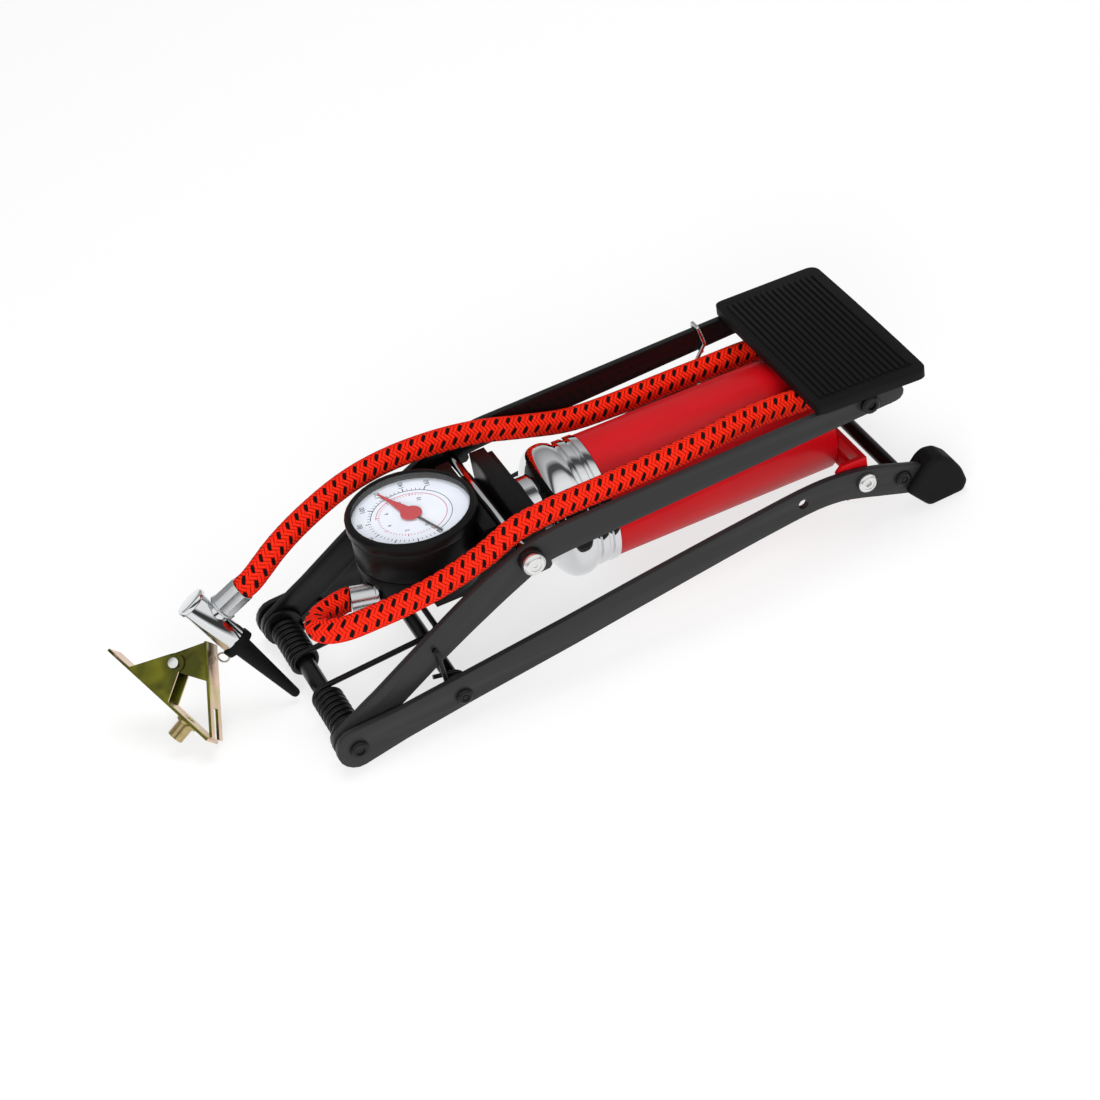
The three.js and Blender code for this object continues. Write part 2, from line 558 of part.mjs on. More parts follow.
// The pedal's outline from above, wider at the back, with round corners and a bowed front and back
function pedalOutline(inset) {
  const { length, frontHalf, rearHalf, cornerRadius, bow } = pedal;
  const [x0, x1] = [inset, length - inset];
  const [f, r] = [frontHalf - inset, rearHalf - inset];
  const c = cornerRadius - inset;
  const shape = new THREE.Shape();
  shape.moveTo(x0 + c, -f);
  shape.lineTo(x1 - c, -r);
  shape.quadraticCurveTo(x1, -r, x1 + bow / 3, -r + c);
  shape.quadraticCurveTo(x1 + bow, 0, x1 + bow / 3, r - c);
  shape.quadraticCurveTo(x1, r, x1 - c, r);
  shape.lineTo(x0 + c, f);
  shape.quadraticCurveTo(x0, f, x0, f - c);
  shape.lineTo(x0, -f + c);
  shape.quadraticCurveTo(x0, -f, x0 + c, -f);
  return shape;
}

function pedalPieces() {
  const group = new THREE.Group();
  group.position.set(pedal.x, 0, pedal.z);
  group.rotation.y = pedal.tilt * degree;
  pump.add(group);
  const outer = new THREE.ExtrudeGeometry(pedalOutline(0), { depth: pedal.skirt, bevelEnabled: false, curveSegments: 5 });
  const inner = new THREE.ExtrudeGeometry(pedalOutline(pedal.skirtWall), { depth: pedal.skirt, bevelEnabled: false, curveSegments: 5 });
  let pad = solidOf(moved(outer, 0, 0, -pedal.skirt));
  pad = pad.subtract(solidOf(moved(inner, 0, 0, -pedal.skirt - pedal.thickness)));
  const span = pedal.length - pedal.ribMargin * 2;
  for (let i = 0; i < pedal.ribs; i += 1) {
    const x = pedal.ribMargin + (span * i) / (pedal.ribs - 1);
    const rib = new THREE.BoxGeometry(pedal.ribWidth, pedal.ribHalf * 2, pedal.ribHeight * 2);
    pad = pad.add(solidOf(moved(rib, x, 0, 0)));
  }
  add(group, "pedal_pad", "rubber", pad);
  const top = -pedal.thickness - gap;
  const low = top - pedalPlate.thickness;
  const half = armInner - gap;
  const section = [
    [-half, top], [-half, low - pedalPlate.drop], [pedalPlate.thickness - half, low - pedalPlate.drop],
    [pedalPlate.thickness - half, low], [half - pedalPlate.thickness, low], [half - pedalPlate.thickness, low - pedalPlate.drop],
    [half, low - pedalPlate.drop], [half, top],
  ];
  const plateLength = pedal.length - pedalPlate.front - pedalPlate.rear;
  const shape = new THREE.Shape(section.map(([y, z]) => new THREE.Vector2(y, z)));
  const channel = new THREE.ExtrudeGeometry(shape, { depth: plateLength, bevelEnabled: false });
  channel.applyMatrix4(new THREE.Matrix4().makeBasis(new THREE.Vector3(0, 1, 0), new THREE.Vector3(0, 0, 1), new THREE.Vector3(1, 0, 0)));
  let plate = solidOf(moved(channel, pedalPlate.front, 0, 0));
  const flangeEnd = pedalPlate.front + pedalPlate.flangeLength;
  const rest = boxBetween(flangeEnd, pedal.length, -half - overrun, half + overrun, low - pedalPlate.drop - overrun, low);
  plate = plate.subtract(solidOf(rest));
  const lean = pedal.tilt * degree;
  const [dx, dz] = [pedalBolt.x - pedal.x, pedalBolt.z - pedal.z];
  const holeX = dx * Math.cos(lean) - dz * Math.sin(lean);
  const holeZ = dx * Math.sin(lean) + dz * Math.cos(lean);
  plate = plate.subtract(acrossHole(holeX, holeZ, pedalBolt.shankRadius + gap, -half - overrun, half + overrun));
  add(group, "pedal_frame", "rod", plate);
}

function pedalBolts() {
  const { x, z, headRadius, headHeight, shankRadius, nutRadius, nutHeight } = pedalBolt;
  const seat = armOuter + gap;
  const nutEnd = armInner - gap - pedalPlate.thickness - gap;
  const profile = [
    [0, nutEnd - nutHeight - overrun], [shankRadius, nutEnd - nutHeight - overrun], [shankRadius, seat], [headRadius, seat],
    [headRadius, seat + headHeight * 0.7], [headRadius - headHeight * 0.3, seat + headHeight], [0, seat + headHeight],
  ];
  addPair(pump, "pedal_bolt", "rod", solidOf(moved(turned(profile, coarse), x, 0, z)));
  const hex = nut(shankRadius + gap, nutRadius, nutEnd - nutHeight, nutEnd);
  addPair(pump, "pedal_nut", "zinc", hex.translate([x, 0, z]));
}

// The arm's centre height and half height at a place along it
function armAt(x) {
  const stations = armStations();
  let i = 0;
  while (i < stations.length - 2 && stations[i + 1][0] < x) i += 1;
  const share = (x - stations[i][0]) / (stations[i + 1][0] - stations[i][0]);
  return [1, 2].map((k) => stations[i][k] * (1 - share) + stations[i + 1][k] * share);
}

// Silver wire over the far rail and under the hose
function hoseClipWire() {
  const { x, wire: r, low, inner, corner: bend } = hoseClip;
  const [z, half] = armAt(x);
  const clear = gap * 2 + r;
  const [top, under] = [z + half + clear, z - half - clear];
  const outer = armOuter + clear;
  const route = [
    [outer - bend * 1.6, under], [outer, under], [outer, top], [armInner - clear, top], [armInner - clear * 1.2, z],
    [inner, z - half], [inner, low], [armInner - bend, low],
  ].map(([y, zz]) => new THREE.Vector3(x, y, zz));
  const points = rounded(route, bend / 3, 2);
  add(pump, "hose_clip", "steel", solidOf(wire(points, r, 8)));
}

// Barrel pieces share a frame at the barrel's pivot: forwards is -x and the barrel's axis lies above the pivot
function barrelFrame() {
  const group = new THREE.Group();
  group.position.set(barrelPivot.x, 0, barrelPivot.z);
  group.rotation.y = barrelTilt * degree;
  pump.add(group);
  return group;
}

// A turned piece on the barrel's axis: the profile holds radius and distance forwards of the pivot
const onAxis = (profile, sides) => solidOf(moved(turnedForward(profile, sides), 0, 0, barrelRise));

function barrelPieces(group) {
  const { radius, wall, length, baseThickness } = barrel;
  const inner = radius - wall;
  const end = gap - clevis.setBack;
  add(group, "barrel_tube", "red", onAxis(ringProfile(inner, radius, end, length), fine));
  add(group, "barrel_base", "red", onAxis(discProfile(inner - gap, end, baseThickness), fine));
  const low = -clevis.height / 2;
  const face = clevis.setBack;
  const back = face + clevis.thickness;
  const section = new THREE.Shape([
    [back, clevisOuter], [-clevis.earLength, clevisOuter], [-clevis.earLength, clevisOuter - clevis.thickness],
    [face, clevisOuter - clevis.thickness], [face, clevis.thickness - clevisOuter], [-clevis.earLength, clevis.thickness - clevisOuter],
    [-clevis.earLength, -clevisOuter], [back, -clevisOuter],
  ].map(([x, y]) => new THREE.Vector2(x, y)));
  let part = solidOf(moved(new THREE.ExtrudeGeometry(section, { depth: clevis.height, bevelEnabled: false }), 0, 0, low));
  const trim = clevis.height / 2;
  for (const up of [-1, 1]) {
    const edge = [
      [-clevis.earLength - overrun, up * trim * 0.55], [-clevis.earLength + trim * 0.45, up * (trim + overrun)],
      [-clevis.earLength - overrun, up * (trim + overrun)],
    ];
    part = part.subtract(solidOf(slab(edge, -baseOuter, baseOuter)));
  }
  part = part.subtract(acrossHole(0, 0, barrelPivot.endRadius + gap, -baseOuter, baseOuter, medium));
  add(group, "barrel_clevis", "red", part);
}

// Chromed cap: two beads, a bulging shoulder and a boss, with the rod's bore and a vent slot
function endCap(group) {
  const start = barrel.length;
  const inner = barrel.radius - barrel.wall;
  const outside = capProfileShares.map(([along, wide]) => [wide * barrel.radius, start + along * capLength]);
  const glandStart = start + capLength - gland.depth;
  const profile = [
    [rod.radius + gap, start + cap.cavityDepth], [inner - cap.wall, start + cap.cavityDepth], [inner - cap.wall, start - cap.plugDepth],
    [inner - gap, start - cap.plugDepth], [inner - gap, outside[0][1]], ...outside,
    [gland.radius + gap, start + capLength], [gland.radius + gap, glandStart], [rod.radius + gap, glandStart],
    [rod.radius + gap, start + cap.cavityDepth],
  ];
  const bossRadius = outside[outside.length - 2][0];
  const slotAt = start + capLength - capSlot.length / 2 - capSlot.depth;
  const slot = new THREE.BoxGeometry(capSlot.length, capSlot.width, capSlot.depth * 2);
  slot.translate(-slotAt, 0, bossRadius);
  slot.rotateX(capSlot.turn * degree);
  slot.translate(0, 0, barrelRise);
  add(group, "barrel_end_cap", "chrome", onAxis(profile, fine).subtract(solidOf(slot)));
  const bush = ringProfile(rod.radius + gap, gland.radius, glandStart + gap, start + capLength - gap);
  add(group, "gland_bush", "brass", onAxis(bush, medium));
}

// Hollow rod with a piston, its cup and its nut, at the back of the barrel when folded
function rodPieces(group) {
  const inner = barrel.radius - barrel.wall;
  const nutStart = barrel.baseThickness + piston.rearClearance;
  const headStart = nutStart + piston.nutHeight + gap;
  const cupStart = headStart + piston.headThickness + gap;
  const shoulder = cupStart + piston.cupThickness + gap;
  const frontEnd = barrel.length + capLength + block.capGap + rod.seat;
  const neckRadius = rod.radius - gap * 3;
  const tube = [
    [rod.bore, nutStart], [neckRadius, nutStart], [neckRadius, shoulder], [rod.radius, shoulder], [rod.radius, frontEnd],
    [rod.bore, frontEnd], [rod.bore, nutStart],
  ];
  add(group, "piston_rod", "chrome", onAxis(tube, medium));
  const hex = nut(neckRadius + gap, piston.nutRadius, nutStart, nutStart + piston.nutHeight);
  add(group, "piston_nut", "zinc", hex.rotate([0, 0, 90]).translate([0, 0, barrelRise]));
  const head = ringProfile(neckRadius + gap, inner - piston.headClearance, headStart, headStart + piston.headThickness);
  add(group, "piston_head", "zinc", onAxis(head, fine));
  const cup = [
    [neckRadius + gap, cupStart], [inner - piston.headClearance, cupStart], [inner - gap * 2, cupStart + piston.cupThickness],
    [inner - gap * 2 - piston.lip, cupStart + piston.cupThickness], [inner - piston.headClearance - piston.lip * 1.5, cupStart + piston.lip],
    [rod.radius + piston.lip, cupStart + piston.lip], [rod.radius + piston.lip, cupStart + piston.cupThickness],
    [neckRadius + gap, cupStart + piston.cupThickness], [neckRadius + gap, cupStart],
  ];
  add(group, "piston_cup", "rubber", onAxis(cup, fine));
}

// A place of the folded pump in the barrel's own frame: distance forwards and height
function inBarrel(x, z) {
  const lean = barrelTilt * degree;
  const [dx, dz] = [x - barrelPivot.x, z - barrelPivot.z];
  return [dz * Math.sin(lean) - dx * Math.cos(lean), dx * Math.sin(lean) + dz * Math.cos(lean)];
}

// The gauge's frame: z is its axis, and its origin is the middle of the dial
function gaugeFrame() {
  const group = new THREE.Group();
  group.position.set(gauge.x, 0, gauge.z);
  group.rotation.y = gauge.tilt * degree;
  group.updateMatrix();
  pump.add(group);
  return group;
}

// The outlet's frame: -x runs out of the block along the ferrule
function outletMatrix() {
  const heading = new THREE.Euler(0, outlet.pitch * degree, -outlet.yaw * degree, "ZYX");
  const start = gauge.x - Math.sqrt(gauge.caseRadius ** 2 - outlet.y ** 2);
  const place = new THREE.Vector3(start, outlet.y, outlet.z);
  return new THREE.Matrix4().makeRotationFromEuler(heading).setPosition(place);
}

function boxBetween(x0, x1, y0, y1, z0, z1) {
  return moved(new THREE.BoxGeometry(x1 - x0, y1 - y0, z1 - z0), (x0 + x1) / 2, (y0 + y1) / 2, (z0 + z1) / 2);
}

function gaugeBlock(frame) {
  const inGauge = (geometry) => geometry.applyMatrix4(frame.matrix);
  const lean = new THREE.Matrix4().makeRotationY(barrelTilt * degree).setPosition(barrelPivot.x, 0, barrelPivot.z);
  const inRod = (geometry) => geometry.applyMatrix4(lean);
  const rear = barrel.length + capLength + block.capGap;
  const socket = solidOf(inGauge(turnedUp(discProfile(gauge.caseRadius, -gauge.socketDepth, -gauge.caseDepth - gap), fine)));
  const hub = solidOf(inRod(moved(turnedForward(discProfile(block.hubRadius, rear, rear + block.hubLength), medium), 0, 0, barrelRise)));
  const neck = solidOf(inRod(boxBetween(-rear - block.neckLength, -rear, -block.neckHalf, block.neckHalf, block.neckLow, block.crossFloor + overrun)));
  const [pivotAlong, pivotUp] = inBarrel(armPivot.x, armPivot.z);
  const cross = solidOf(inRod(boxBetween(-rear - block.crossLength, -rear, -block.crossHalf, block.crossHalf, block.crossFloor, block.crossTop)));
  const slotHalf = armPivot.rodRadius + block.slotAlong + gap;
  const slotFloor = pivotUp - armPivot.rodRadius - block.slotUp - gap;
  const slot = solidOf(inRod(boxBetween(
    -pivotAlong - slotHalf, -pivotAlong + slotHalf, -block.crossHalf - overrun, block.crossHalf + overrun, slotFloor, block.crossTop + overrun,
  )));
  const step = block.crossLength / 8;
  const ledge = solidOf(inRod(boxBetween(
    -rear - step, -rear + overrun, -block.crossHalf - overrun, block.crossHalf + overrun, block.crossTop - step, block.crossTop + overrun,
  )));
  const bore = solidOf(inRod(moved(turnedForward(discProfile(rod.radius + gap, rear - overrun, rear + rod.seat + gap), medium), 0, 0, barrelRise)));
  const casing = solidOf(inGauge(turnedUp(discProfile(gauge.caseRadius + gap, -gauge.caseDepth - gap, gauge.bezelTop), fine)));
  const rim = solidOf(inGauge(turnedUp(discProfile(gauge.bezelRadius + gap, gauge.bezelTop - gauge.bezelHeight - gap, gauge.bezelTop * 2), fine)));
  const port = solidOf(turnedForward(discProfile(outlet.pin + gap, -outlet.pinDepth - gap, outlet.sleeveLength), 12).applyMatrix4(outletMatrix()));
  const face = solidOf(turnedForward(discProfile(outlet.collar + gap, 0, outlet.sleeveLength), 12).applyMatrix4(outletMatrix()));
  add(pump, "gauge_block", "plastic", cutBy(joined(socket, hub, neck, cross), casing, rim, slot, ledge, bore, port, face));
}

function gaugePieces(frame) {
  const { dialRadius, lipRadius, bezelRadius, bezelHeight, bezelTop, caseRadius, caseDepth, dialDrop, dialThickness, lensThickness, boss } = gauge;
  const bezelLow = bezelTop - bezelHeight;
  const dialTop = -dialDrop;
  const dialLow = dialTop - dialThickness;
  const lensTop = bezelTop - gap * 3;
  const caseTop = dialLow - gap;
  const up = (profile, sides) => solidOf(turnedUp(profile, sides));
  const body = [
    [0, -caseDepth], [caseRadius, -caseDepth], [caseRadius, bezelLow - gap], [dialRadius, bezelLow - gap],
    [dialRadius, caseTop], [boss, caseTop], [boss, caseTop - boss * 2], [0, caseTop - boss * 2],
  ];
  add(frame, "gauge_case", "plastic", up(body, fine));
  const bezel = [
    [dialRadius + gap, bezelLow], [bezelRadius - gap, bezelLow], [bezelRadius, bezelLow + gap * 2], [bezelRadius, bezelTop - gap * 4],
    [bezelRadius - gap * 4, bezelTop], [lipRadius, bezelTop], [lipRadius, lensTop + gap], [dialRadius + gap, lensTop + gap],
    [dialRadius + gap, bezelLow],
  ];
  add(frame, "gauge_bezel", "plastic", up(bezel, fine));
  add(frame, "gauge_dial", "dial", up(ringProfile(pointer.spindle + gap, dialRadius, dialLow, dialTop), fine));
  add(frame, "gauge_lens", "glass", up(discProfile(dialRadius, lensTop - lensThickness, lensTop), fine));
}

// The needle: a tapering tail, a round hub and a thin end, with a spindle through the dial
function gaugePointer(frame) {
  const { tip, tail, width, needle, hub, thickness, spindle, turn } = pointer;
  const low = -gauge.dialDrop + gap * 2;
  const outline = new THREE.Shape([
    [-tail, -needle / 2], [-tail, needle / 2], [0, needle], [hub * 1.2, width], [tip, gap], [tip, -gap], [hub * 1.2, -width], [0, -needle],
  ].map(([x, y]) => new THREE.Vector2(x, y)));
  const blade = solidOf(moved(new THREE.ExtrudeGeometry(outline, { depth: thickness, bevelEnabled: false }), 0, 0, low));
  const disc = solidOf(turnedUp(discProfile(hub, low, low + thickness), coarse));
  const stem = solidOf(turnedUp(discProfile(spindle, -gauge.dialDrop - gauge.dialThickness - gauge.boss, low + thickness / 2), coarse));
  const group = new THREE.Group();
  group.rotation.z = turn * degree;
  frame.add(group);
  add(group, "gauge_pointer", "pointer", joined(blade, disc, stem));
}

// Crimped ferrule of the hose at the block
function outletFerrule() {
  const { pin, pinDepth, collar, collarLength, sleeve, sleeveLength } = outlet;
  const profile = [
    [0, -pinDepth], [pin, -pinDepth], [pin, gap], [collar, gap], [collar, collarLength], [sleeve, collarLength + gap],
    [sleeve, collarLength + sleeveLength], [0, collarLength + sleeveLength],
  ];
  add(pump, "outlet_ferrule", "steel", solidOf(turnedForward(profile, 12).applyMatrix4(outletMatrix())));
}

// The hose's route from the outlet's ferrule to the chuck's, chosen by hand from the pump's front axle
const hoseRoute = [
  [16, -7.9, 47.6], [9.5, -9.4, 48.6], [4, -13.4, 49.4], [1.8, -19.5, 50.2], [3.8, -26.4, 51], [9.5, -32.2, 51.9], [18, -35.6, 52.8],
  [37, -36.9, 54.2], [58, -37.4, 57.4], [76, -38, 63], [92, -38.2, 68.9], [110, -37.8, 70], [132, -37.2, 69], [156, -36.4, 67.9],
  [180, -34.4, 66.6], [198, -30.6, 64.8], [214, -25.8, 61.9], [228, -23.4, 58.9], [240, -23.2, 57.6], [252, -19.4, 54.6], [262, -8, 51],
  [265.4, 4, 49], [261.4, 17, 48.4], [250, 28.4, 47.8], [236, 34.4, 47.8], [214, 36, 48.6], [190, 36.2, 49.4], [168, 36.2, 50.4],
  [146, 36.4, 53], [126, 36.8, 59.4], [108, 37.2, 65.8], [90, 37.6, 69.8], [70, 37.4, 72], [50, 36.6, 71.8], [32, 34, 69.6],
  [16, 30.4, 65.8], [3, 27, 61],
];

function chuckMatrix() {
  const axis = headingVector(chuck.heading, chuck.pitch);
  const stem = headingVector(chuck.stemHeading, chuck.stemPitch);
  stem.addScaledVector(axis, -stem.dot(axis)).normalize();
  const side = axis.clone().cross(stem);
  return new THREE.Matrix4().makeBasis(stem, side, axis).setPosition(chuck.x, chuck.y, chuck.z);
}

function headingVector(heading, pitch) {
  const [h, p] = [heading * degree, pitch * degree];
  return new THREE.Vector3(Math.cos(p) * Math.cos(h), Math.cos(p) * Math.sin(h), Math.sin(p));
}

function hose() {
  const out = outletMatrix();
  const outletFace = outlet.collarLength + outlet.sleeveLength + gap;
  const start = new THREE.Vector3(-outletFace, 0, 0).applyMatrix4(out);
  const stub = new THREE.Vector3(-outletFace - hoseStub / 3, 0, 0).applyMatrix4(out);
  const chuckFace = chuck.radius + chuck.flangeLength + chuck.ferruleLength + gap * 3;
  const place = chuckMatrix();
  const end = new THREE.Vector3(chuckFace, 0, chuck.stemPlace).applyMatrix4(place);
  const lead = new THREE.Vector3(chuckFace + hoseStub, 0, chuck.stemPlace).applyMatrix4(place);
  const points = [start, stub, ...hoseRoute.map((p) => new THREE.Vector3(...p)), lead, end];
  const curve = new THREE.CatmullRomCurve3(points, false, "centripetal");
  curve.arcLengthDivisions = 1200;
  const section = new THREE.Shape();
  for (let i = 0; i < hoseSides; i += 1) {
    const turn = (i / hoseSides) * fullTurn;
    const at = [hoseRadius * Math.cos(turn), hoseRadius * Math.sin(turn)];
    if (i === 0) section.moveTo(...at);
    else section.lineTo(...at);
  }
  section.closePath();
  console.log("hose length", curve.getLength().toFixed(1));
  add(pump, "hose", "braid", solidOf(new THREE.ExtrudeGeometry(section, { steps: hoseSteps, extrudePath: curve, bevelEnabled: false })));
}

// The chuck's frame: z runs from the nozzle's collar up the body and x out along the stem
function chuckPieces() {
  const group = new THREE.Group();
  group.applyMatrix4(chuckMatrix());
  pump.add(group);
  const { radius, length, capRadius, capLength: lid, bossRadius, stemPlace, flangeRadius, flangeLength, ferruleRadius, ferruleLength, bore } = chuck;
  const body = solidOf(turnedUp([[0, gap], [radius, gap], [radius, length], [0, length]], medium));
  const boss = solidOf(moved(turned(discProfile(bossRadius, 0, radius + gap), coarse).rotateZ(-quarterTurn), 0, 0, stemPlace));
  const mouth = solidOf(turnedUp(discProfile(nozzle.neck + gap, 0, nozzle.neckDepth + gap * 2), medium));
  const way = solidOf(moved(turned(discProfile(bore, radius / 2, radius * 2), coarse).rotateZ(-quarterTurn), 0, 0, stemPlace));
  add(group, "chuck_body", "chrome", cutBy(body.add(boss), mouth, way));
  add(group, "chuck_cap", "chrome", solidOf(turnedUp([
    [0, length + gap], [capRadius, length + gap], [capRadius, length + lid - gap * 2], [capRadius - gap * 2, length + lid], [0, length + lid],
  ], medium)));
  const face = radius + gap * 2;
  const ferrule = [
    [0, face], [flangeRadius, face], [flangeRadius, face + flangeLength], [ferruleRadius, face + flangeLength],
    [ferruleRadius, face + flangeLength + ferruleLength], [0, face + flangeLength + ferruleLength],
  ];
  add(group, "chuck_ferrule", "steel", solidOf(moved(turned(ferrule, chuck.ferruleFlats).rotateZ(-quarterTurn), 0, 0, stemPlace)));
  const { collarRadius, collarLength, root, tip, length: reach, neck, neckDepth } = nozzle;
  add(group, "nozzle_cone", "rubber", solidOf(turnedUp([
    [0, neckDepth], [neck, neckDepth], [neck, 0], [collarRadius, 0], [collarRadius, -collarLength], [root, -collarLength - gap],
    [tip, -reach + tip], [tip * 0.7, -reach + tip * 0.3], [0, -reach],
  ], medium)));
}

// The clip's frame: x runs from the jaw to the handles, y from plate to plate and z along the pin
function clipMatrix() {
  const along = headingVector(clip.heading, clip.pitch);
  const flat = new THREE.Vector3(Math.sin(clip.heading * degree), -Math.cos(clip.heading * degree), 0);
  const across = flat.applyAxisAngle(along, -clip.roll * degree).normalize();
  const pin = along.clone().cross(across);
  return new THREE.Matrix4().makeBasis(along, across, pin).setPosition(clip.x, clip.y, clip.z);
}

// One plate of the clip, lying along x from the jaw, with two ears that carry the pin
function clipPlate(side, earPlace) {
  const { half, width, thickness, jawGap, pinPlace, earBase, earRadius, earWall, pinRadius } = clip;
  const length = side > 0 ? clip.shortLength : clip.length;
  const lean = side * half * degree;
  const settle = new THREE.Matrix4().makeRotationZ(lean).setPosition(0, side * jawGap, 0);
  const plate = boxBetween(0, length, side > 0 ? 0 : -thickness, side > 0 ? thickness : 0, -width / 2, width / 2).applyMatrix4(settle);
  const foot = (x) => new THREE.Vector3(x, (side * thickness) / 2, 0).applyMatrix4(settle);
  const [from, to] = [foot(pinPlace - earBase / 2), foot(Math.min(pinPlace + earBase / 2, length))];
  const shape = new THREE.Shape();
  shape.moveTo(from.x, from.y);
  const pinX = pinPlace;
  for (let i = 0; i <= 6; i += 1) {
    const turn = (side > 0 ? Math.PI : Math.PI) + (side > 0 ? 1 : -1) * (Math.PI * i) / 6;
    shape.lineTo(pinX + earRadius * Math.cos(turn), earRadius * Math.sin(turn));
  }
  shape.lineTo(to.x, to.y);
  shape.closePath();
  let part = solidOf(plate);
  for (const z of [earPlace, -earPlace - earWall]) {
    part = part.add(solidOf(moved(new THREE.ExtrudeGeometry(shape, { depth: earWall, bevelEnabled: false }), 0, 0, z)));
  }
  return part.subtract(solidOf(moved(turnedUp(discProfile(pinRadius + gap, -width, width), coarse), pinX, 0, 0)));
}

function clipPieces() {
  const group = new THREE.Group();
  group.applyMatrix4(clipMatrix());
  pump.add(group);
  const { width, earWall, pinPlace, pinRadius, pinHead, notchWidth, notchLength, half, thickness, jawGap } = clip;
  const outerEar = width / 2 - earWall;
  const innerEar = outerEar - gap - earWall;
  const settle = (side) => new THREE.Matrix4().makeRotationZ(side * half * degree).setPosition(0, side * jawGap, 0);
  const seat = new THREE.Matrix4().makeTranslation(spigot.place, -thickness, 0);
  const onA = (geometry) => geometry.applyMatrix4(settle(-1).multiply(seat));
  const hole = solidOf(onA(turned(discProfile(spigot.shank + gap, -overrun, thickness + overrun), medium)));
  add(group, "clip_plate_a", "passivated", clipPlate(-1, outerEar).subtract(hole));
  const notch = boxBetween(-overrun, notchLength, -thickness * 2, thickness * 3, -notchWidth / 2, notchWidth / 2).applyMatrix4(settle(1));
  add(group, "clip_plate_b", "passivated", clipPlate(1, innerEar).subtract(solidOf(notch)));
  const headAt = width / 2 + gap;
  const pin = [
    [0, -headAt - earWall], [pinHead, -headAt - earWall], [pinHead, -headAt], [pinRadius, -headAt], [pinRadius, headAt], [pinHead, headAt],
    [pinHead, headAt + earWall], [0, headAt + earWall],
  ];
  add(group, "clip_pin", "zinc", solidOf(moved(turnedUp(pin, coarse), pinPlace, 0, 0)));
  const nipple = [
    [spigot.bore, -spigot.length], [spigot.radius, -spigot.length], [spigot.radius, -gap - spigot.flangeLength], [spigot.flange, -gap - spigot.flangeLength],
    [spigot.flange, -gap], [spigot.shank, -gap], [spigot.shank, thickness], [spigot.bore, thickness], [spigot.bore, -spigot.length],
  ];
  add(group, "clip_spigot", "brass", solidOf(onA(turned(nipple, medium))));
}

// A small ring of wire between plate B's edge and the nozzle's collar
function clipRing() {
  const { half, jawGap, thickness, width } = clip;
  const frame = clipMatrix().multiply(new THREE.Matrix4().makeRotationZ(half * degree).setPosition(0, jawGap, 0));
  const edge = new THREE.Vector3(tether.along, thickness + gap + tether.wire, width / 2).applyMatrix4(frame);
  const collar = new THREE.Vector3(0, 0, -nozzle.collarLength / 2).applyMatrix4(chuckMatrix());
  const toward = collar.sub(edge).normalize();
  const across = new THREE.Vector3(0, 1, 0).transformDirection(frame);
  const normal = toward.clone().cross(across).normalize();
  const ring = new THREE.TorusGeometry(tether.radius, tether.wire, 6, coarse);
  const turn = new THREE.Matrix4().makeBasis(toward, normal.clone().cross(toward), normal);
  ring.applyMatrix4(turn.setPosition(edge.addScaledVector(toward, tether.radius + tether.wire)));
  add(pump, "clip_ring", "steel", solidOf(ring));
}

// The origin lies under the middle of the pump, between the front eyes and the backs of the feet
const frameShift = (baseLength - foot.front + foot.length - eyeRadius) / 2;
pump.position.x = -frameShift;

baseRails();
crossRods();
axlePieces();
feet();
barrelScrews();
armSpring();
latchWire();
armRails();
armCrossRod();
pedalPieces();
pedalBolts();
hoseClipWire();
const barrelGroup = barrelFrame();
barrelPieces(barrelGroup);
endCap(barrelGroup);
rodPieces(barrelGroup);
const gaugeGroup = gaugeFrame();
gaugeBlock(gaugeGroup);
gaugePieces(gaugeGroup);
gaugePointer(gaugeGroup);
outletFerrule();
hose();
chuckPieces();
clipPieces();
clipRing();

export default pump;
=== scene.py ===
"""A folded single-barrel foot pump: steel frames, red barrel, gauge, ribbed pedal and a braided hose."""

import json
import math

import bmesh
import bpy
from mathutils import Matrix, Vector


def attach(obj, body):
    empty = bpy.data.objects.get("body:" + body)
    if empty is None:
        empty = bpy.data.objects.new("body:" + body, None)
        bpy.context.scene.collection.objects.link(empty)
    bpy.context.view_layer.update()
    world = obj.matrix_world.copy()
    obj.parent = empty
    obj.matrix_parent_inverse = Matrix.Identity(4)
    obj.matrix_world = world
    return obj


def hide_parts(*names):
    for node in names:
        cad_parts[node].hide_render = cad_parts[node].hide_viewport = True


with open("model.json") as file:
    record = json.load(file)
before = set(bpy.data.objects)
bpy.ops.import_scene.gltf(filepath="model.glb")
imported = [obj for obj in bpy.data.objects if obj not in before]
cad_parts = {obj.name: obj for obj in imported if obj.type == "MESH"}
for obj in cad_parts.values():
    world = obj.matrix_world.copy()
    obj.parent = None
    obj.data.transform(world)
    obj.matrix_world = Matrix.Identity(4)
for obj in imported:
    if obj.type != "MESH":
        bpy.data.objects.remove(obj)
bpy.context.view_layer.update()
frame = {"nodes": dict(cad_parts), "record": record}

MM = 0.001
# Edges that turn by more than this many degrees are eased and shaded as edges
SHARP = 32


# Tools

def nothing_selected():
    bpy.ops.object.select_all(action="DESELECT")


def only(piece):
    nothing_selected()
    piece.select_set(True)
    bpy.context.view_layer.objects.active = piece


def settled(piece):
    """The piece's place and turn go into its mesh."""
    only(piece)
    bpy.ops.object.transform_apply(location=True, rotation=True, scale=True)


def applied(piece, kind, **settings):
    """Adds a modifier to the piece and applies it."""
    only(piece)
    item = piece.modifiers.new(kind.lower(), kind)
    for key, value in settings.items():
        setattr(item, key, value)
    bpy.ops.object.modifier_apply(modifier=item.name)


def eased(piece, width, sharp=SHARP, segments=2):
    """Rounds the piece's sharp edges by a width in millimetres."""
    applied(
        piece, "BEVEL", width=width * MM, segments=segments,
        limit_method="ANGLE", angle_limit=math.radians(sharp), use_clamp_overlap=True,
    )


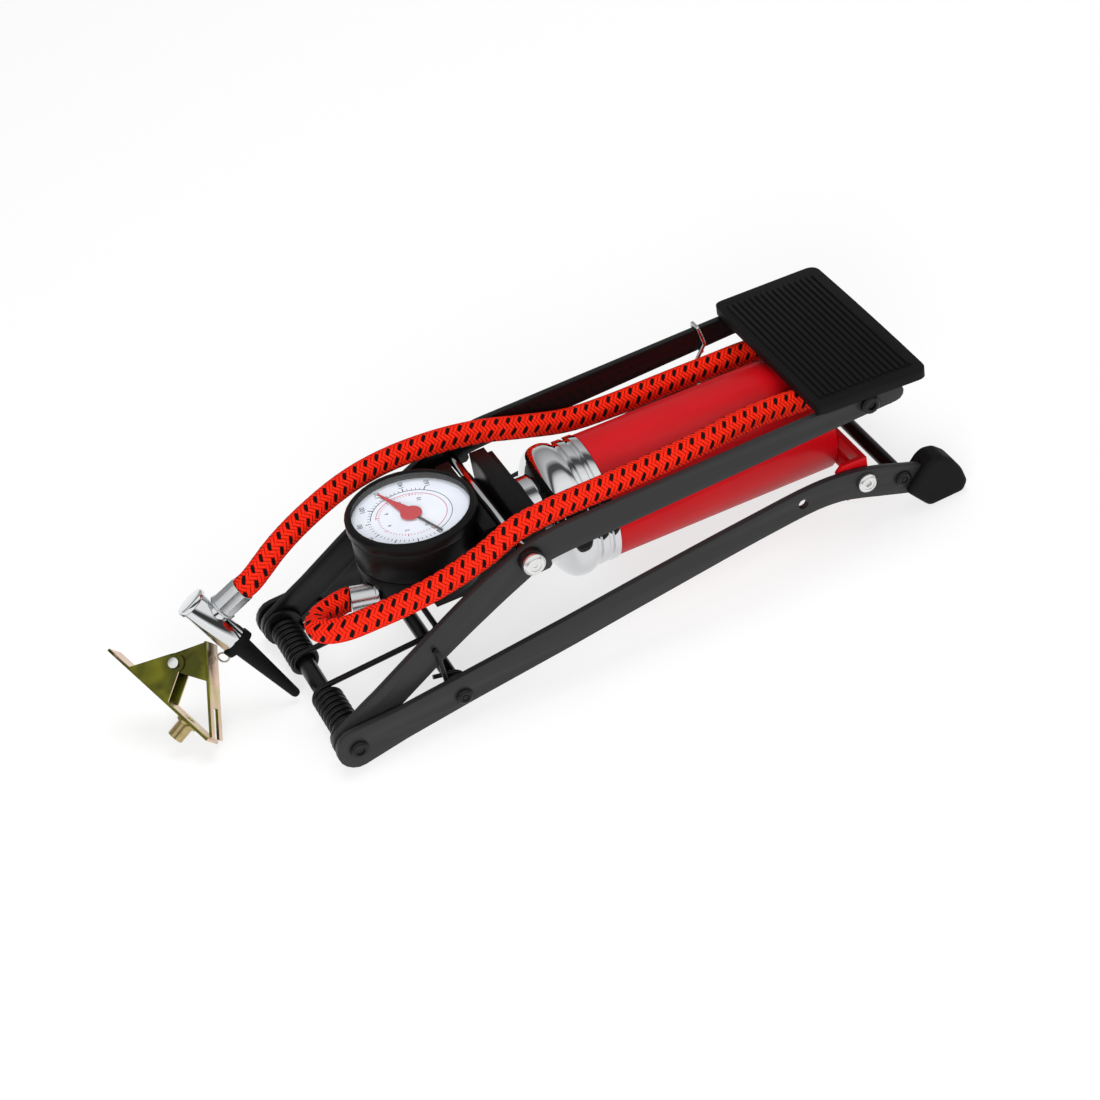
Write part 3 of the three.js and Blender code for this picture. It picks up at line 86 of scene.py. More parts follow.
def shaded(piece):
    """Shades the piece smooth up to its sharp edges."""
    only(piece)
    bpy.ops.object.shade_smooth_by_angle(angle=math.radians(SHARP))


def made(name, shape):
    """An object from a finished bmesh."""
    data = bpy.data.meshes.new(name)
    shape.to_mesh(data)
    shape.free()
    piece = bpy.data.objects.new(name, data)
    bpy.context.collection.objects.link(piece)
    return piece


def dressed(piece, finish):
    piece.data.materials.clear()
    piece.data.materials.append(finish)


def stands_for(piece, node, finish):
    """The piece wears its finish, rides with the node's body and replaces the node."""
    dressed(piece, finish)
    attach(piece, body_of[node])
    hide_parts(node)
    return piece


body_of = {node: body for body, nodes in frame["record"]["behaviour"]["bodies"].items() for node in nodes}
slot_of = {part["node"]: part["material_slot"] for part in frame["record"]["subparts"]}


# Camera, where the photographer stood: before the near side, above it and turned a little on its own axis

LENS = 90.835
SENSOR = 36
EYE = Vector((-0.25972, -0.90635, 0.75772))
EYE_HEADING = -14.53
EYE_HEIGHT = 38.22
EYE_ROLL = -15.57


def camera():
    data = bpy.data.cameras.new("studio_camera")
    data.lens = LENS
    data.sensor_width = SENSOR
    eye = bpy.data.objects.new("studio_camera", data)
    bpy.context.collection.objects.link(eye)
    turn, height, roll = (math.radians(v) for v in (EYE_HEADING, EYE_HEIGHT, EYE_ROLL))
    flat = math.cos(height)
    back = Vector((math.sin(turn) * flat, -math.cos(turn) * flat, math.sin(height)))
    level = Vector((math.cos(turn), math.sin(turn), 0))
    upright = back.cross(level)
    right = level * math.cos(roll) + upright * math.sin(roll)
    up = upright * math.cos(roll) - level * math.sin(roll)
    eye.matrix_world = Matrix.Translation(EYE) @ Matrix((right, up, back)).transposed().to_4x4()
    bpy.context.scene.camera = eye
    bpy.context.scene.view_settings.view_transform = "Standard"


camera()


# Lines and tubes

def weighed(one, two, start, end, at):
    """The point between two at a place from start to end."""
    return one * ((end - at) / (end - start)) + two * ((at - start) / (end - start))


def through(points, steps):
    """A smooth line through points, with its knots set by the root of their distance."""
    ends = [points[0] * 2 - points[1], *points, points[-1] * 2 - points[-2]]
    line = []
    for i in range(1, len(ends) - 2):
        p = ends[i - 1:i + 3]
        t = [0.0]
        for k in range(3):
            t.append(t[-1] + max((p[k + 1] - p[k]).length, 1e-9) ** 0.5)
        for k in range(steps):
            at = t[1] + (t[2] - t[1]) * k / steps
            a = [weighed(p[j], p[j + 1], t[j], t[j + 1], at) for j in range(3)]
            b = [weighed(a[j], a[j + 1], t[j], t[j + 2], at) for j in range(2)]
            line.append(weighed(b[0], b[1], t[1], t[2], at))
    return [*line, points[-1]]


def evenly(points, count):
    """The same line with its points an even distance apart."""
    run = [0.0]
    for a, b in zip(points, points[1:]):
        run.append(run[-1] + (b - a).length)
    spread, k = [], 0
    for i in range(count + 1):
        at = run[-1] * i / count
        while k < len(points) - 2 and run[k + 1] < at:
            k += 1
        share = (at - run[k]) / (run[k + 1] - run[k])
        spread.append(points[k].lerp(points[k + 1], min(share, 1)))
    return spread


def tube(name, line, radius, sides):
    """A closed tube round a line, without twist, with a map of millimetres along it and turns round it."""
    shape = bmesh.new()
    chart = shape.loops.layers.uv.new("run")
    normal = Vector((0, 0, 1))
    turns = [math.tau * k / sides for k in range(sides)]
    rings, run = [], [0.0]
    for i, at in enumerate(line):
        ahead = (line[min(i + 1, len(line) - 1)] - line[max(i - 1, 0)]).normalized()
        normal = (normal - ahead * normal.dot(ahead)).normalized()
        side = ahead.cross(normal)
        if i:
            run.append(run[-1] + (at - line[i - 1]).length)
        ways = [normal * math.cos(t) + side * math.sin(t) for t in turns]
        rings.append([shape.verts.new(at + way * radius) for way in ways])
    for i in range(len(line) - 1):
        for k in range(sides):
            ring, following, beside = rings[i], rings[i + 1], (k + 1) % sides
            face = shape.faces.new((ring[k], ring[beside], following[beside], following[k]))
            places = ((i, k), (i, k + 1), (i + 1, k + 1), (i + 1, k))
            for corner, (along, around) in zip(face.loops, places):
                corner[chart].uv = (run[along] / MM, around / sides)
            face.smooth = True
    shape.faces.new(rings[0][::-1])
    shape.faces.new(rings[-1])
    return made(name, shape)


# Nodes that the finishes share

def linear(code):
    """A linear colour from an sRGB hex value."""
    parts = [int(code[i:i + 2], 16) / 255 for i in (0, 2, 4)]
    return tuple(c / 12.92 if c <= 0.04045 else ((c + 0.055) / 1.055) ** 2.4 for c in parts) + (1.0,)


def put(tree, kind, inputs=(), **settings):
    """Adds a node with its settings; inputs gives a socket its value or the output it is linked from."""
    item = tree.nodes.new(kind)
    for key, value in settings.items():
        setattr(item, key, value)
    for key, value in dict(inputs).items():
        if isinstance(value, bpy.types.NodeSocket):
            tree.links.new(value, item.inputs[key])
        else:
            item.inputs[key].default_value = value
    return item


def surface(name, **values):
    """A material with one Principled shader: (tree, shader, material). Values set its own sockets."""
    material = bpy.data.materials.new(name)
    material.use_nodes = True
    tree = material.node_tree
    shader = tree.nodes["Principled BSDF"]
    for key, value in values.items():
        shader.inputs[key.replace("_", " ")].default_value = value
    material.diffuse_color = shader.inputs["Base Color"].default_value
    return tree, shader, material


def on_piece(tree):
    """Places on the piece, in metres."""
    return put(tree, "ShaderNodeTexCoord").outputs["Object"]


def noise(tree, where, size, detail, **more):
    """Noise with features of about the given millimetres."""
    inputs = {"Vector": where, "Scale": 1.0 / (size * MM), "Detail": detail, **more}
    return put(tree, "ShaderNodeTexNoise", inputs).outputs["Fac"]


def levels(tree, value, low, high, start=0.0, end=1.0):
    """The value from start to end, spread from low to high."""
    inputs = {"Value": value, "From Min": start, "From Max": end, "To Min": low, "To Max": high}
    return put(tree, "ShaderNodeMapRange", inputs).outputs["Result"]


def mixed(tree, factor, one, two):
    """A colour between two."""
    return put(tree, "ShaderNodeMix", {"Factor": factor, 6: one, 7: two}, data_type="RGBA").outputs[2]


def chosen(tree, factor, one, two):
    """A number between two."""
    return put(tree, "ShaderNodeMix", {"Factor": factor, "A": one, "B": two}, data_type="FLOAT").outputs[0]


def maths(tree, operation, *values):
    return put(tree, "ShaderNodeMath", dict(enumerate(values)), operation=operation).outputs[0]


def relief(tree, height, strength, depth):
    """The normal over a relief whose depth is in millimetres."""
    inputs = {"Height": height, "Strength": strength, "Distance": depth * MM}
    return put(tree, "ShaderNodeBump", inputs).outputs["Normal"]


def wired(tree, shader, **outputs):
    for key, output in outputs.items():
        tree.links.new(output, shader.inputs[key.replace("_", " ")])


# Finishes

def satin_paint(name, colour, roughness, peel):
    """Stove enamel sprayed on steel strip: an even dark coat, faint orange peel, a slightly worn gloss."""
    tree, shader, material = surface(name, Base_Color=linear(colour), Roughness=roughness, IOR=1.34)
    where = on_piece(tree)
    # Peel of about 0.8 mm, and cloudy gloss of about 30 mm
    bumps = noise(tree, where, size=0.8, detail=1.0)
    clouds = noise(tree, where, size=30, detail=3.0)
    gloss = levels(tree, clouds, roughness - 0.06, roughness + 0.08)
    wired(tree, shader, Roughness=gloss, Normal=relief(tree, bumps, peel, 0.02))
    return material


def gloss_enamel():
    """Baked red enamel on the drawn barrel: deep colour under a thin clear gloss, with faint long waves."""
    tree, shader, material = surface(
        "Baked gloss enamel", Base_Color=linear("B40610"), Roughness=0.5, IOR=1.28,
        Coat_Weight=0.14, Coat_Roughness=0.12,
    )
    # Depth of colour drifts over about 25 mm
    drift = noise(tree, on_piece(tree), size=25, detail=2.0)
    shade = mixed(tree, drift, linear("A8040C"), linear("BE0814"))
    wired(tree, shader, Base_Color=shade, Coat_Normal=relief(tree, drift, 0.1, 0.2))
    return material


def bright_chrome():
    """Chrome plate on polished brass and steel: a near mirror with a few hairlines from wiping."""
    tree, shader, material = surface(
        "Polished chrome plate", Base_Color=linear("DCDEE0"), Metallic=1.0, Roughness=0.06,
    )
    wipe = put(tree, "ShaderNodeMapping", {"Vector": on_piece(tree), "Scale": (1.0, 1.0, 14.0)})
    lines = noise(tree, wipe.outputs["Vector"], size=6, detail=4.0)
    wired(tree, shader, Roughness=levels(tree, lines, 0.035, 0.12, start=0.35))
    return material


def zinc_plate(name, colour, tint, roughness):
    """Electroplated zinc on turned steel: bright, slightly milky, with a cloudy passivate."""
    tree, shader, material = surface(name, Base_Color=linear(colour), Metallic=1.0, Roughness=roughness)
    where = on_piece(tree)
    clouds = noise(tree, where, size=3, detail=4.0)
    grain = noise(tree, where, size=0.35, detail=1.0)
    shade = mixed(tree, clouds, linear(colour), linear(tint))
    gloss = levels(tree, clouds, roughness - 0.08, roughness + 0.12)
    wired(tree, shader, Base_Color=shade, Roughness=gloss, Normal=relief(tree, grain, 0.15, 0.02))
    return material


def yellow_chromate(pin_way):
    """Yellow chromate over zinc: pink and straw gold on the plates, thick and olive green on the ears."""
    tree, shader, material = surface(
        "Yellow chromated zinc", Base_Color=linear("C3AE72"), Metallic=1.0, Roughness=0.3,
    )
    chart = put(tree, "ShaderNodeTexCoord")
    # Drifts of about 12 and 6 mm
    broad = noise(tree, chart.outputs["Object"], size=12, detail=2.0, Distortion=0.4)
    small = noise(tree, chart.outputs["Object"], size=6, detail=2.0)
    drift = levels(tree, broad, 0.0, 1.0, start=0.38, end=0.64)
    plate = mixed(tree, drift, linear("E2BFA6"), linear("CDBE86"))
    ear = mixed(tree, drift, linear("4C4D22"), linear("747428"))
    # The ears face along the pin
    ways = {0: chart.outputs["Normal"], 1: pin_way}
    facing = put(tree, "ShaderNodeVectorMath", ways, operation="DOT_PRODUCT")
    on_ear = levels(tree, maths(tree, "ABSOLUTE", facing.outputs["Value"]), 0.0, 1.0, start=0.8, end=0.95)
    wired(tree, shader, Base_Color=mixed(tree, on_ear, plate, ear), Roughness=levels(tree, small, 0.22, 0.4))
    return material


def moulded(name, colour, roughness, grain, depth):
    """Moulded black rubber or ABS: a fine even spark texture from the mould, with a dull or satin sheen."""
    tree, shader, material = surface(name, Base_Color=linear(colour), Roughness=roughness, IOR=1.22)
    where = on_piece(tree)
    pits = noise(tree, where, size=grain, detail=2.0, Roughness=0.6)
    clouds = noise(tree, where, size=18, detail=3.0)
    gloss = levels(tree, clouds, roughness - 0.07, roughness + 0.07)
    wired(tree, shader, Roughness=gloss, Normal=relief(tree, pits, 0.35, depth))
    return material


# The braid: yarns of each lay round the hose, millimetres between them along it, threads in a yarn
YARNS = 12.0
YARN_STEP = 1.8
YARN_THREADS = 5
# Over two and under two, and every third yarn of one lay is black
WEAVE = 4.0
BLACK_EVERY = 3.0
# A black bulge's half width and half length in yarns, and how square its ends are
FLECK_WIDTH = 0.54
FLECK_LENGTH = 1.3
FLECK_SQUARENESS = 2.6


def braided_sleeve():
    """Polyester braid on a rubber hose: red yarns laid over two and under two, with some black ones."""
    tree, shader, material = surface("Polyester braid", Base_Color=linear("E2231A"), Roughness=0.8, IOR=1.2)

    def do(operation, *values):
        return maths(tree, operation, *values)

    chart = put(tree, "ShaderNodeUVMap", uv_map="run").outputs["UV"]
    split = put(tree, "ShaderNodeSeparateXYZ", {"Vector": chart})
    # The two lays cross the hose's length at about 57 degrees
    along = do("DIVIDE", split.outputs["X"], YARN_STEP)
    around = do("MULTIPLY", split.outputs["Y"], YARNS)
    first = do("ADD", along, around)
    second = do("SUBTRACT", along, around)
    weave = do("FLOORED_MODULO", do("SUBTRACT", do("FLOOR", second), do("FLOOR", first)), WEAVE)
    # Of four crossings in a row the first lay is on top at two
    over = do("LESS_THAN", weave, 1.5)
    hump_first = do("SINE", do("MULTIPLY", do("FRACT", first), math.pi))
    hump_second = do("SINE", do("MULTIPLY", do("FRACT", second), math.pi))
    crown = do("POWER", chosen(tree, over, hump_second, hump_first), 0.9)
    # The black yarn's bulge where it lies on top
    middle = do("SUBTRACT", first, 0.5)
    black_yarn = do("MULTIPLY", do("ROUND", do("DIVIDE", middle, BLACK_EVERY)), BLACK_EVERY)
    across = do("SUBTRACT", middle, black_yarn)
    lengthwise = do("SUBTRACT", do("FLOORED_MODULO", do("SUBTRACT", second, black_yarn), WEAVE), 1.0)
    reach = do(
        "ADD",
        do("POWER", do("ABSOLUTE", do("DIVIDE", across, FLECK_WIDTH)), FLECK_SQUARENESS),
        do("POWER", do("ABSOLUTE", do("DIVIDE", lengthwise, FLECK_LENGTH)), FLECK_SQUARENESS),
    )
    # The single threads of a yarn, about 0.3 mm apart, run along it
    threads = do("SINE", do("MULTIPLY", chosen(tree, over, second, first), math.tau * YARN_THREADS))
    # The red is painted darker towards the grooves between the yarns: painted shade in the weave's valleys,
    # following the same crown as the relief
    red = mixed(tree, crown, linear("860602"), linear("F02A14"))
    shade = mixed(tree, do("LESS_THAN", reach, 1.0), red, linear("140B0B"))
    height = do("ADD", crown, do("MULTIPLY", threads, 0.08))
    wired(tree, shader, Base_Color=shade, Normal=relief(tree, height, 0.7, 0.3))
    return material


def printed_card():
    """A printed aluminium dial: cool white matt lacquer with the least unevenness."""
    tree, shader, material = surface(
        "White lacquered dial", Base_Color=linear("DDE3EE"), Roughness=0.5, IOR=1.45,
    )
    clouds = noise(tree, on_piece(tree), size=12, detail=2.0)
    wired(tree, shader, Base_Color=mixed(tree, clouds, linear("D6DDEA"), linear("E6EAF2")))
    return material


def ink(name, colour):
    """Screen printing ink: flat and a little uneven in density."""
    tree, shader, material = surface(name, Base_Color=linear(colour), Roughness=0.55, IOR=1.2)
    specks = noise(tree, on_piece(tree), size=0.5, detail=2.0)
    wired(tree, shader, Roughness=levels(tree, specks, 0.45, 0.68))
    return material


def clear_acrylic():
    """A thin flat acrylic cover: light goes straight through, and a little of the room comes back."""
    return surface("Clear acrylic", Base_Color=(1, 1, 1, 1), Roughness=0.08, IOR=1.49, Alpha=0.04)[2]


def turned_brass():
    """Turned brass: warm yellow, a little tarnished in drifts of 2.5 mm."""
    tree, shader, material = surface(
        "Turned brass", Base_Color=linear("B8A068"), Metallic=1.0, Roughness=0.28,
    )
    tarnish = noise(tree, on_piece(tree), size=2.5, detail=3.0)
    wired(tree, shader, Base_Color=mixed(tree, tarnish, linear("9C8450"), linear("CDBC8C")))
    return material


# The way that the adapter clip's pin points
PIN_WAY = (0.326, 0.552, -0.767)
FINISHES = {
    "grey_paint": satin_paint("Satin black stove enamel", "262627", roughness=0.42, peel=0.12),
    "black_paint": satin_paint("Gloss black stove enamel", "0C0C0D", roughness=0.28, peel=0.08),
    "red_paint": gloss_enamel(),
    "zinc": zinc_plate("Bright zinc plate", "DCDCDA", tint="F0F0EE", roughness=0.28),
    "wire_steel": zinc_plate("Bright drawn steel", "BFC2C4", tint="DADCDD", roughness=0.24),
    "passivated": yellow_chromate(PIN_WAY),
    "chrome": bright_chrome(),
    "brass": turned_brass(),
    "black_rubber": moulded("Moulded rubber", "0E0E0F", roughness=0.62, grain=0.5, depth=0.05),
    "black_plastic": moulded("Moulded ABS", "0B0B0B", roughness=0.34, grain=0.35, depth=0.02),
    "dial_white": printed_card(),
    "needle_red": ink("Red needle lacquer", "B00C1C"),
    "lens": clear_acrylic(),
    "braid": braided_sleeve(),
}
BLACK_INK = ink("Black printing ink", "23252C")
RED_INK = ink("Red printing ink", "C2455C")
BLACK_LACQUER = ink("Black needle lacquer", "1A1A1C")


# Recesses in the ends of screws, rivets and rods

# Ends that lie further out than this many millimetres are outside the frames
FRAME_FACE = 44
# Rims and depths in millimetres, of the pieces' outer ends; a depth under 0 comes out
CROSSBAR_END = [(1.2, 0.6), (0.5, -0.4)]
SUNK = {
    "arm_screw_near": [(1.1, 0.5), (1.7, 0.3)], "arm_screw_far": [(1.1, 0.5), (1.7, 0.3)],
    "barrel_screw_near": [(0.8, 0.5), (1.1, 1.2)], "barrel_screw_far": [(0.8, 0.5), (1.1, 1.2)],
    "pedal_bolt_near": [(1.4, 1.4)], "pedal_bolt_far": [(1.4, 1.4)],
    "front_axle": [(1.3, 0.9)], "mid_crossbar": CROSSBAR_END, "rear_crossbar": CROSSBAR_END,
}


def sunk(piece, side, steps):
    """Recesses in one end face: each step leaves a rim and goes in, or comes out, by a depth."""
    shape = bmesh.from_edit_mesh(piece.data)
    tip = max(v.co.y * side for v in shape.verts)
    if tip < FRAME_FACE * MM:
        return
    bpy.ops.mesh.select_all(action="DESELECT")
    for face in shape.faces:
        at_tip = face.calc_center_median().y * side > tip - 0.05 * MM
        face.select_set(at_tip and face.normal.y * side > 0.99)
    bmesh.update_edit_mesh(piece.data)
    for rim, depth in steps:
        bpy.ops.mesh.inset(thickness=rim * MM)
        bpy.ops.mesh.extrude_region_move(TRANSFORM_OT_translate={"value": (0, -side * depth * MM, 0)})


# The connector's own frame: x out along its stem, z up its body, from the middle of the body's foot

CHUCK_PLACE = Vector((-163.1, 17.8, 33))
STEM_REACH = 8.4
STEM_HEIGHT = 14


def heading(turn, rise):
    turn, rise = math.radians(turn), math.radians(rise)
    return Vector((math.cos(rise) * math.cos(turn), math.cos(rise) * math.sin(turn), math.sin(rise)))


def square_to(way, axis):
    return (way - axis * way.dot(axis)).normalized()


CHUCK_AXIS = heading(137.9, 55.2)
CHUCK_STEM = square_to(heading(-10.6, 35.5), CHUCK_AXIS)
CHUCK_TURN = Matrix((CHUCK_STEM, CHUCK_AXIS.cross(CHUCK_STEM), CHUCK_AXIS)).transposed().to_4x4()
CHUCK_FRAME = Matrix.Translation(CHUCK_PLACE * MM) @ CHUCK_TURN

# Lengths and radii in millimetres, of the solid and of the piece that stands for it
FERRULE_SOLID = (17, 6.3)
FERRULE = (11.9, 5.9)
COLLAR_LENGTH = 3.6
COLLAR_SOLID = 7.4
COLLAR = 6.9
# The cone's radii at its root and tip
CONE_SOLID = (5.6, 1.9)
CONE = (4.3, 2.2)


def shorter_ferrule(mesh):
    """The crimped ferrule starts at the stem's flange."""
    start = CHUCK_FRAME @ Matrix.Translation(Vector((STEM_REACH, 0, STEM_HEIGHT)) * MM)
    length, radius = FERRULE[0] / FERRULE_SOLID[0], FERRULE[1] / FERRULE_SOLID[1]
    mesh.transform(start @ Matrix.Diagonal((length, radius, radius, 1)) @ start.inverted())


def slimmer_nozzle(mesh):
    """The rubber cone springs from its collar with a shoulder and has a blunt tip."""
    back = CHUCK_FRAME.inverted()
    places = [back @ v.co for v in mesh.vertices]
    tip = min(p.z for p in places)
    root = -COLLAR_LENGTH * MM
    for vertex, place in zip(mesh.vertices, places):
        share = 1
        if place.z < root - 0.1 * MM:
            down = (place.z - root) / (tip - root)
            wanted = CONE[0] + (CONE[1] - CONE[0]) * down
            share = wanted / (CONE_SOLID[0] + (CONE_SOLID[1] - CONE_SOLID[0]) * down)
        elif place.z < 0:
            share = COLLAR / COLLAR_SOLID
        vertex.co = CHUCK_FRAME @ Vector((place.x * share, place.y * share, place.z))


RESHAPED = {"chuck_ferrule": shorter_ferrule, "nozzle_cone": slimmer_nozzle}


# Solids carried over with fine edges

# Points that lie nearer than this many millimetres become one
WELD = 0.002
# Faces that turn by less than this many degrees become one
FLAT = 0.4


def softened(piece):
    """A rubber moulding's form: its corners flow into each other with a radius of about 2 mm."""
    applied(piece, "REMESH", mode="VOXEL", voxel_size=0.6 * MM)
    applied(piece, "SMOOTH", factor=0.5, iterations=24)


def fine(node, rounding, finish):
    """A copy of the solid as one closed mesh with its edges eased, which stands for the solid."""
    piece = bpy.data.objects.new(f"{node}_fine", frame["nodes"][node].data.copy())
    bpy.context.collection.objects.link(piece)
    if node in RESHAPED:
        RESHAPED[node](piece.data)
    only(piece)
    bpy.ops.object.mode_set(mode="EDIT")
    bpy.ops.mesh.select_all(action="SELECT")
    bpy.ops.mesh.remove_doubles(threshold=WELD * MM)
    bpy.ops.mesh.dissolve_limited(angle_limit=math.radians(FLAT))
    if node in SUNK:
        for side in (-1, 1):
            sunk(piece, side, SUNK[node])
    bpy.ops.object.mode_set(mode="OBJECT")
    if node in SOFT:
        softened(piece)
    elif rounding:
        eased(piece, rounding)
    shaded(piece)
    return stands_for(piece, node, finish)


# Pieces with an eased edge of their own in millimetres
EASED = {
    "base_rail_near": 0.35, "base_rail_far": 0.35, "arm_rail_near": 0.35, "arm_rail_far": 0.35,
    "barrel_tube": 0.3, "barrel_base": 0, "barrel_clevis": 0.4,
    "gauge_block": 0.4, "gauge_case": 0.4, "gauge_bezel": 0.3, "gauge_dial": 0, "gauge_lens": 0.15,
    "pedal_pad": 0.3, "pedal_frame": 0.3, "clip_pin": 0.15, "clip_ring": 0,
    "chuck_body": 0.3, "chuck_cap": 0.25, "chuck_ferrule": 0.25, "nozzle_cone": 0.3, "outlet_ferrule": 0.25,
}
SMALL_EDGE = 0.2
SOFT = {"rear_foot_near", "rear_foot_far"}
# Modelled anew below
OWN = {"hose", "arm_spring", "latch_wire", "hose_clip", "gauge_pointer", "barrel_end_cap"}
# The far frames wear the darker, glossier black enamel as painted shade: they are in the same paint as the
# near frames but lie in shade
FAR_FRAME_SHADE = {"arm_rail_far": FINISHES["black_paint"], "base_rail_far": FINISHES["black_paint"]}
for node in frame["nodes"]:
    if node not in OWN:
        # Painted shade: the far frames take the darker enamel in place of their own
        finish = FAR_FRAME_SHADE.get(node, FINISHES[slot_of[node]])
        fine(node, EASED.get(node, SMALL_EDGE), finish)


# The barrel's chromed cap, turned on the barrel's axis; sizes in millimetres and degrees

BARREL_RADIUS = 27.5
BARREL_LENGTH = 103.5
BARREL_PIVOT = Vector((102.9, 0, 24.7))
BARREL_LEAN = 2.86
BARREL_RISE = 7.7
CAP_LENGTH = 31.2
# Shares of the cap's length and of the barrel's radius
CAP_GROOVES = [
    (0.01, 1.025), (0.1, 1.025), (0.115, 0.98), (0.16, 0.98),
    (0.18, 1.022), (0.275, 1.022), (0.295, 0.98), (0.34, 0.98),
]
CAP_SHOULDER = [
    (0.365, 1.045), (0.45, 1.08), (0.545, 1.08), (0.64, 1.05), (0.72, 0.97), (0.78, 0.85), (0.81, 0.745),
]
CAP_BOSS = [(0.83, 0.727), (0.975, 0.727), (1, 0.7)]
# The gland's and the rod's hole, the cavity behind them and the plug in the barrel: radii and depths
GLAND_HOLE = (7.6, 9)
ROD_HOLE = 4.8
CAVITY = (22.9, 9)
PLUG = (25.7, 6)
PLUG_RIM = 0.31
# The slot's length, width and depth, and its turn round the barrel's axis
CAP_SLOT = (7, 1.6, 1.4)
CAP_SLOT_TURN = 38
CAP_BOSS_RADIUS = 20
CAP_FACETS = 144


def cap_profile():
    """The closed outline of the cap's wall: distances along the barrel's axis, and radii."""
    curve = [(p.x, p.y) for p in through([Vector((a, r, 0)) for a, r in CAP_SHOULDER], 4)]
    shares = [*CAP_GROOVES, *curve, *CAP_BOSS]
    outside = [(BARREL_LENGTH + along * CAP_LENGTH, radius * BARREL_RADIUS) for along, radius in shares]
    front = BARREL_LENGTH + CAP_LENGTH
    gland_seat = front - GLAND_HOLE[1]
    cavity_front = BARREL_LENGTH + CAVITY[1]
    plug_end = BARREL_LENGTH - PLUG[1]
    return outside + [
        (front, GLAND_HOLE[0]), (gland_seat, GLAND_HOLE[0]),
        (gland_seat, ROD_HOLE), (cavity_front, ROD_HOLE),
        (cavity_front, CAVITY[0]), (plug_end, CAVITY[0]),
        (plug_end, PLUG[0]), (BARREL_LENGTH + PLUG_RIM, PLUG[0]),
    ]


def slot_cutter():
    """A bar across the boss's side, as deep again outside it."""
    length, width, depth = CAP_SLOT
    bpy.ops.mesh.primitive_cube_add(size=1)
    cutter = bpy.context.object
    cutter.scale = (length * MM, width * MM, depth * 2 * MM)
    along = BARREL_LENGTH + CAP_LENGTH - length / 2 - depth
    place = Matrix.Translation(Vector((-along, 0, CAP_BOSS_RADIUS)) * MM)
    cutter.matrix_world = Matrix.Rotation(math.radians(CAP_SLOT_TURN), 4, "X") @ place @ cutter.matrix_basis
    return cutter


def turned_cap():
    """The cap: two grooves, a rounded shoulder and a front boss with a slot cut across its side."""
    shape = bmesh.new()
    corners = [shape.verts.new((-along * MM, 0, radius * MM)) for along, radius in cap_profile()]
    edges = [shape.edges.new((a, b)) for a, b in zip(corners, corners[1:] + corners[:1])]
    bmesh.ops.spin(
        shape, geom=corners + edges, cent=(0, 0, 0), axis=(1, 0, 0), angle=math.tau, steps=CAP_FACETS,
        use_merge=True,
    )
    bmesh.ops.remove_doubles(shape, verts=shape.verts, dist=0.001 * MM)
    bmesh.ops.recalc_face_normals(shape, faces=shape.faces)
    piece = made("barrel_end_cap_fine", shape)
    cutter = slot_cutter()
    applied(piece, "BOOLEAN", object=cutter, operation="DIFFERENCE", solver="EXACT")
    bpy.data.objects.remove(cutter)
    eased(piece, SMALL_EDGE)
    lean = Matrix.Rotation(math.radians(BARREL_LEAN), 4, "Y")
    rise = Matrix.Translation((0, 0, BARREL_RISE * MM))
    piece.matrix_world = Matrix.Translation(BARREL_PIVOT * MM) @ lean @ rise
    settled(piece)
    shaded(piece)
    stands_for(piece, "barrel_end_cap", FINISHES["chrome"])


turned_cap()


# Braided hose

HOSE_DIAMETER = 10.5 * MM
HOSE_RINGS = 560
HOSE_SIDES = 40
# The route from the outlet's ferrule to the connector's ferrule, in millimetres
HOSE_ROUTE = [
    (-114.77, -6.53, 46.33), (-116.38, -6.13, 46.56), (-124.6, -8.7, 47.6), (-129.5, -11.4, 48.3),
    (-132.6, -15.7, 49), (-133, -21, 50), (-130, -26, 51), (-123.8, -29.9, 52), (-111.6, -33.4, 54),
    (-96.6, -36, 56), (-80.6, -37.2, 58.4), (-62.6, -38, 63), (-46.6, -38.2, 68.9), (-28.6, -37.8, 70),
    (-6.6, -37.2, 69), (17.4, -36.4, 67.9), (41.4, -34.4, 66.6), (59.4, -30.6, 64.8), (75.4, -27.3, 61.9),
    (89.4, -25.6, 58.9), (101.4, -24.6, 57.6), (113.4, -19.4, 54.6), (123.4, -8, 51), (126.8, 4, 49),
    (122.8, 17, 48.4), (111.4, 28.4, 47.8), (97.4, 34.2, 47.8), (75.4, 35.4, 48.6), (51.4, 36.2, 49.4),
    (29.4, 36.2, 50.4), (7.4, 36.4, 53), (-12.6, 36.8, 59.4), (-30.6, 37.2, 65.8), (-48.6, 37.6, 69.8),
    (-68.6, 37.4, 72), (-84.6, 36.2, 72.2), (-98.6, 33.2, 71.6), (-112.6, 28.8, 70), (-123.6, 25, 68),
    (-133.6, 21.4, 65.2), (-147.6, 18.5, 57.7), (-151.78, 19.42, 55.13),
]


def hose():
    line = evenly(through([Vector(p) * MM for p in HOSE_ROUTE], 16), HOSE_RINGS)
    piece = tube("braided_hose", line, HOSE_DIAMETER / 2, HOSE_SIDES)
    dressed(piece, FINISHES["braid"])
    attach(piece, "base")
    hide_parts("hose")


hose()


# Wires, in millimetres from the front axle

ROW_START = Vector((-138.6, 0, 0))
WIRE_SIDES = 12


def wire(name, node, points, radius):
    piece = tube(name, [(p + ROW_START) * MM for p in points], radius * MM, WIRE_SIDES)
    stands_for(piece, node, FINISHES[slot_of[node]])


def coil(place, radius, from_turn, to_turn, from_y, to_y, per_turn=32):
    """Turns round a rod that lies across the pump at a place (x, z); angles start below the rod."""
    steps = round(abs(to_turn - from_turn) / math.tau * per_turn)
    x, z = place
    points = []
    for i in range(steps + 1):
        share = i / steps
        turn = from_turn + (to_turn - from_turn) * share
        y = from_y + (to_y - from_y) * share
        points.append(Vector((x + radius * math.sin(turn), y, z - radius * math.cos(turn))))
    return points


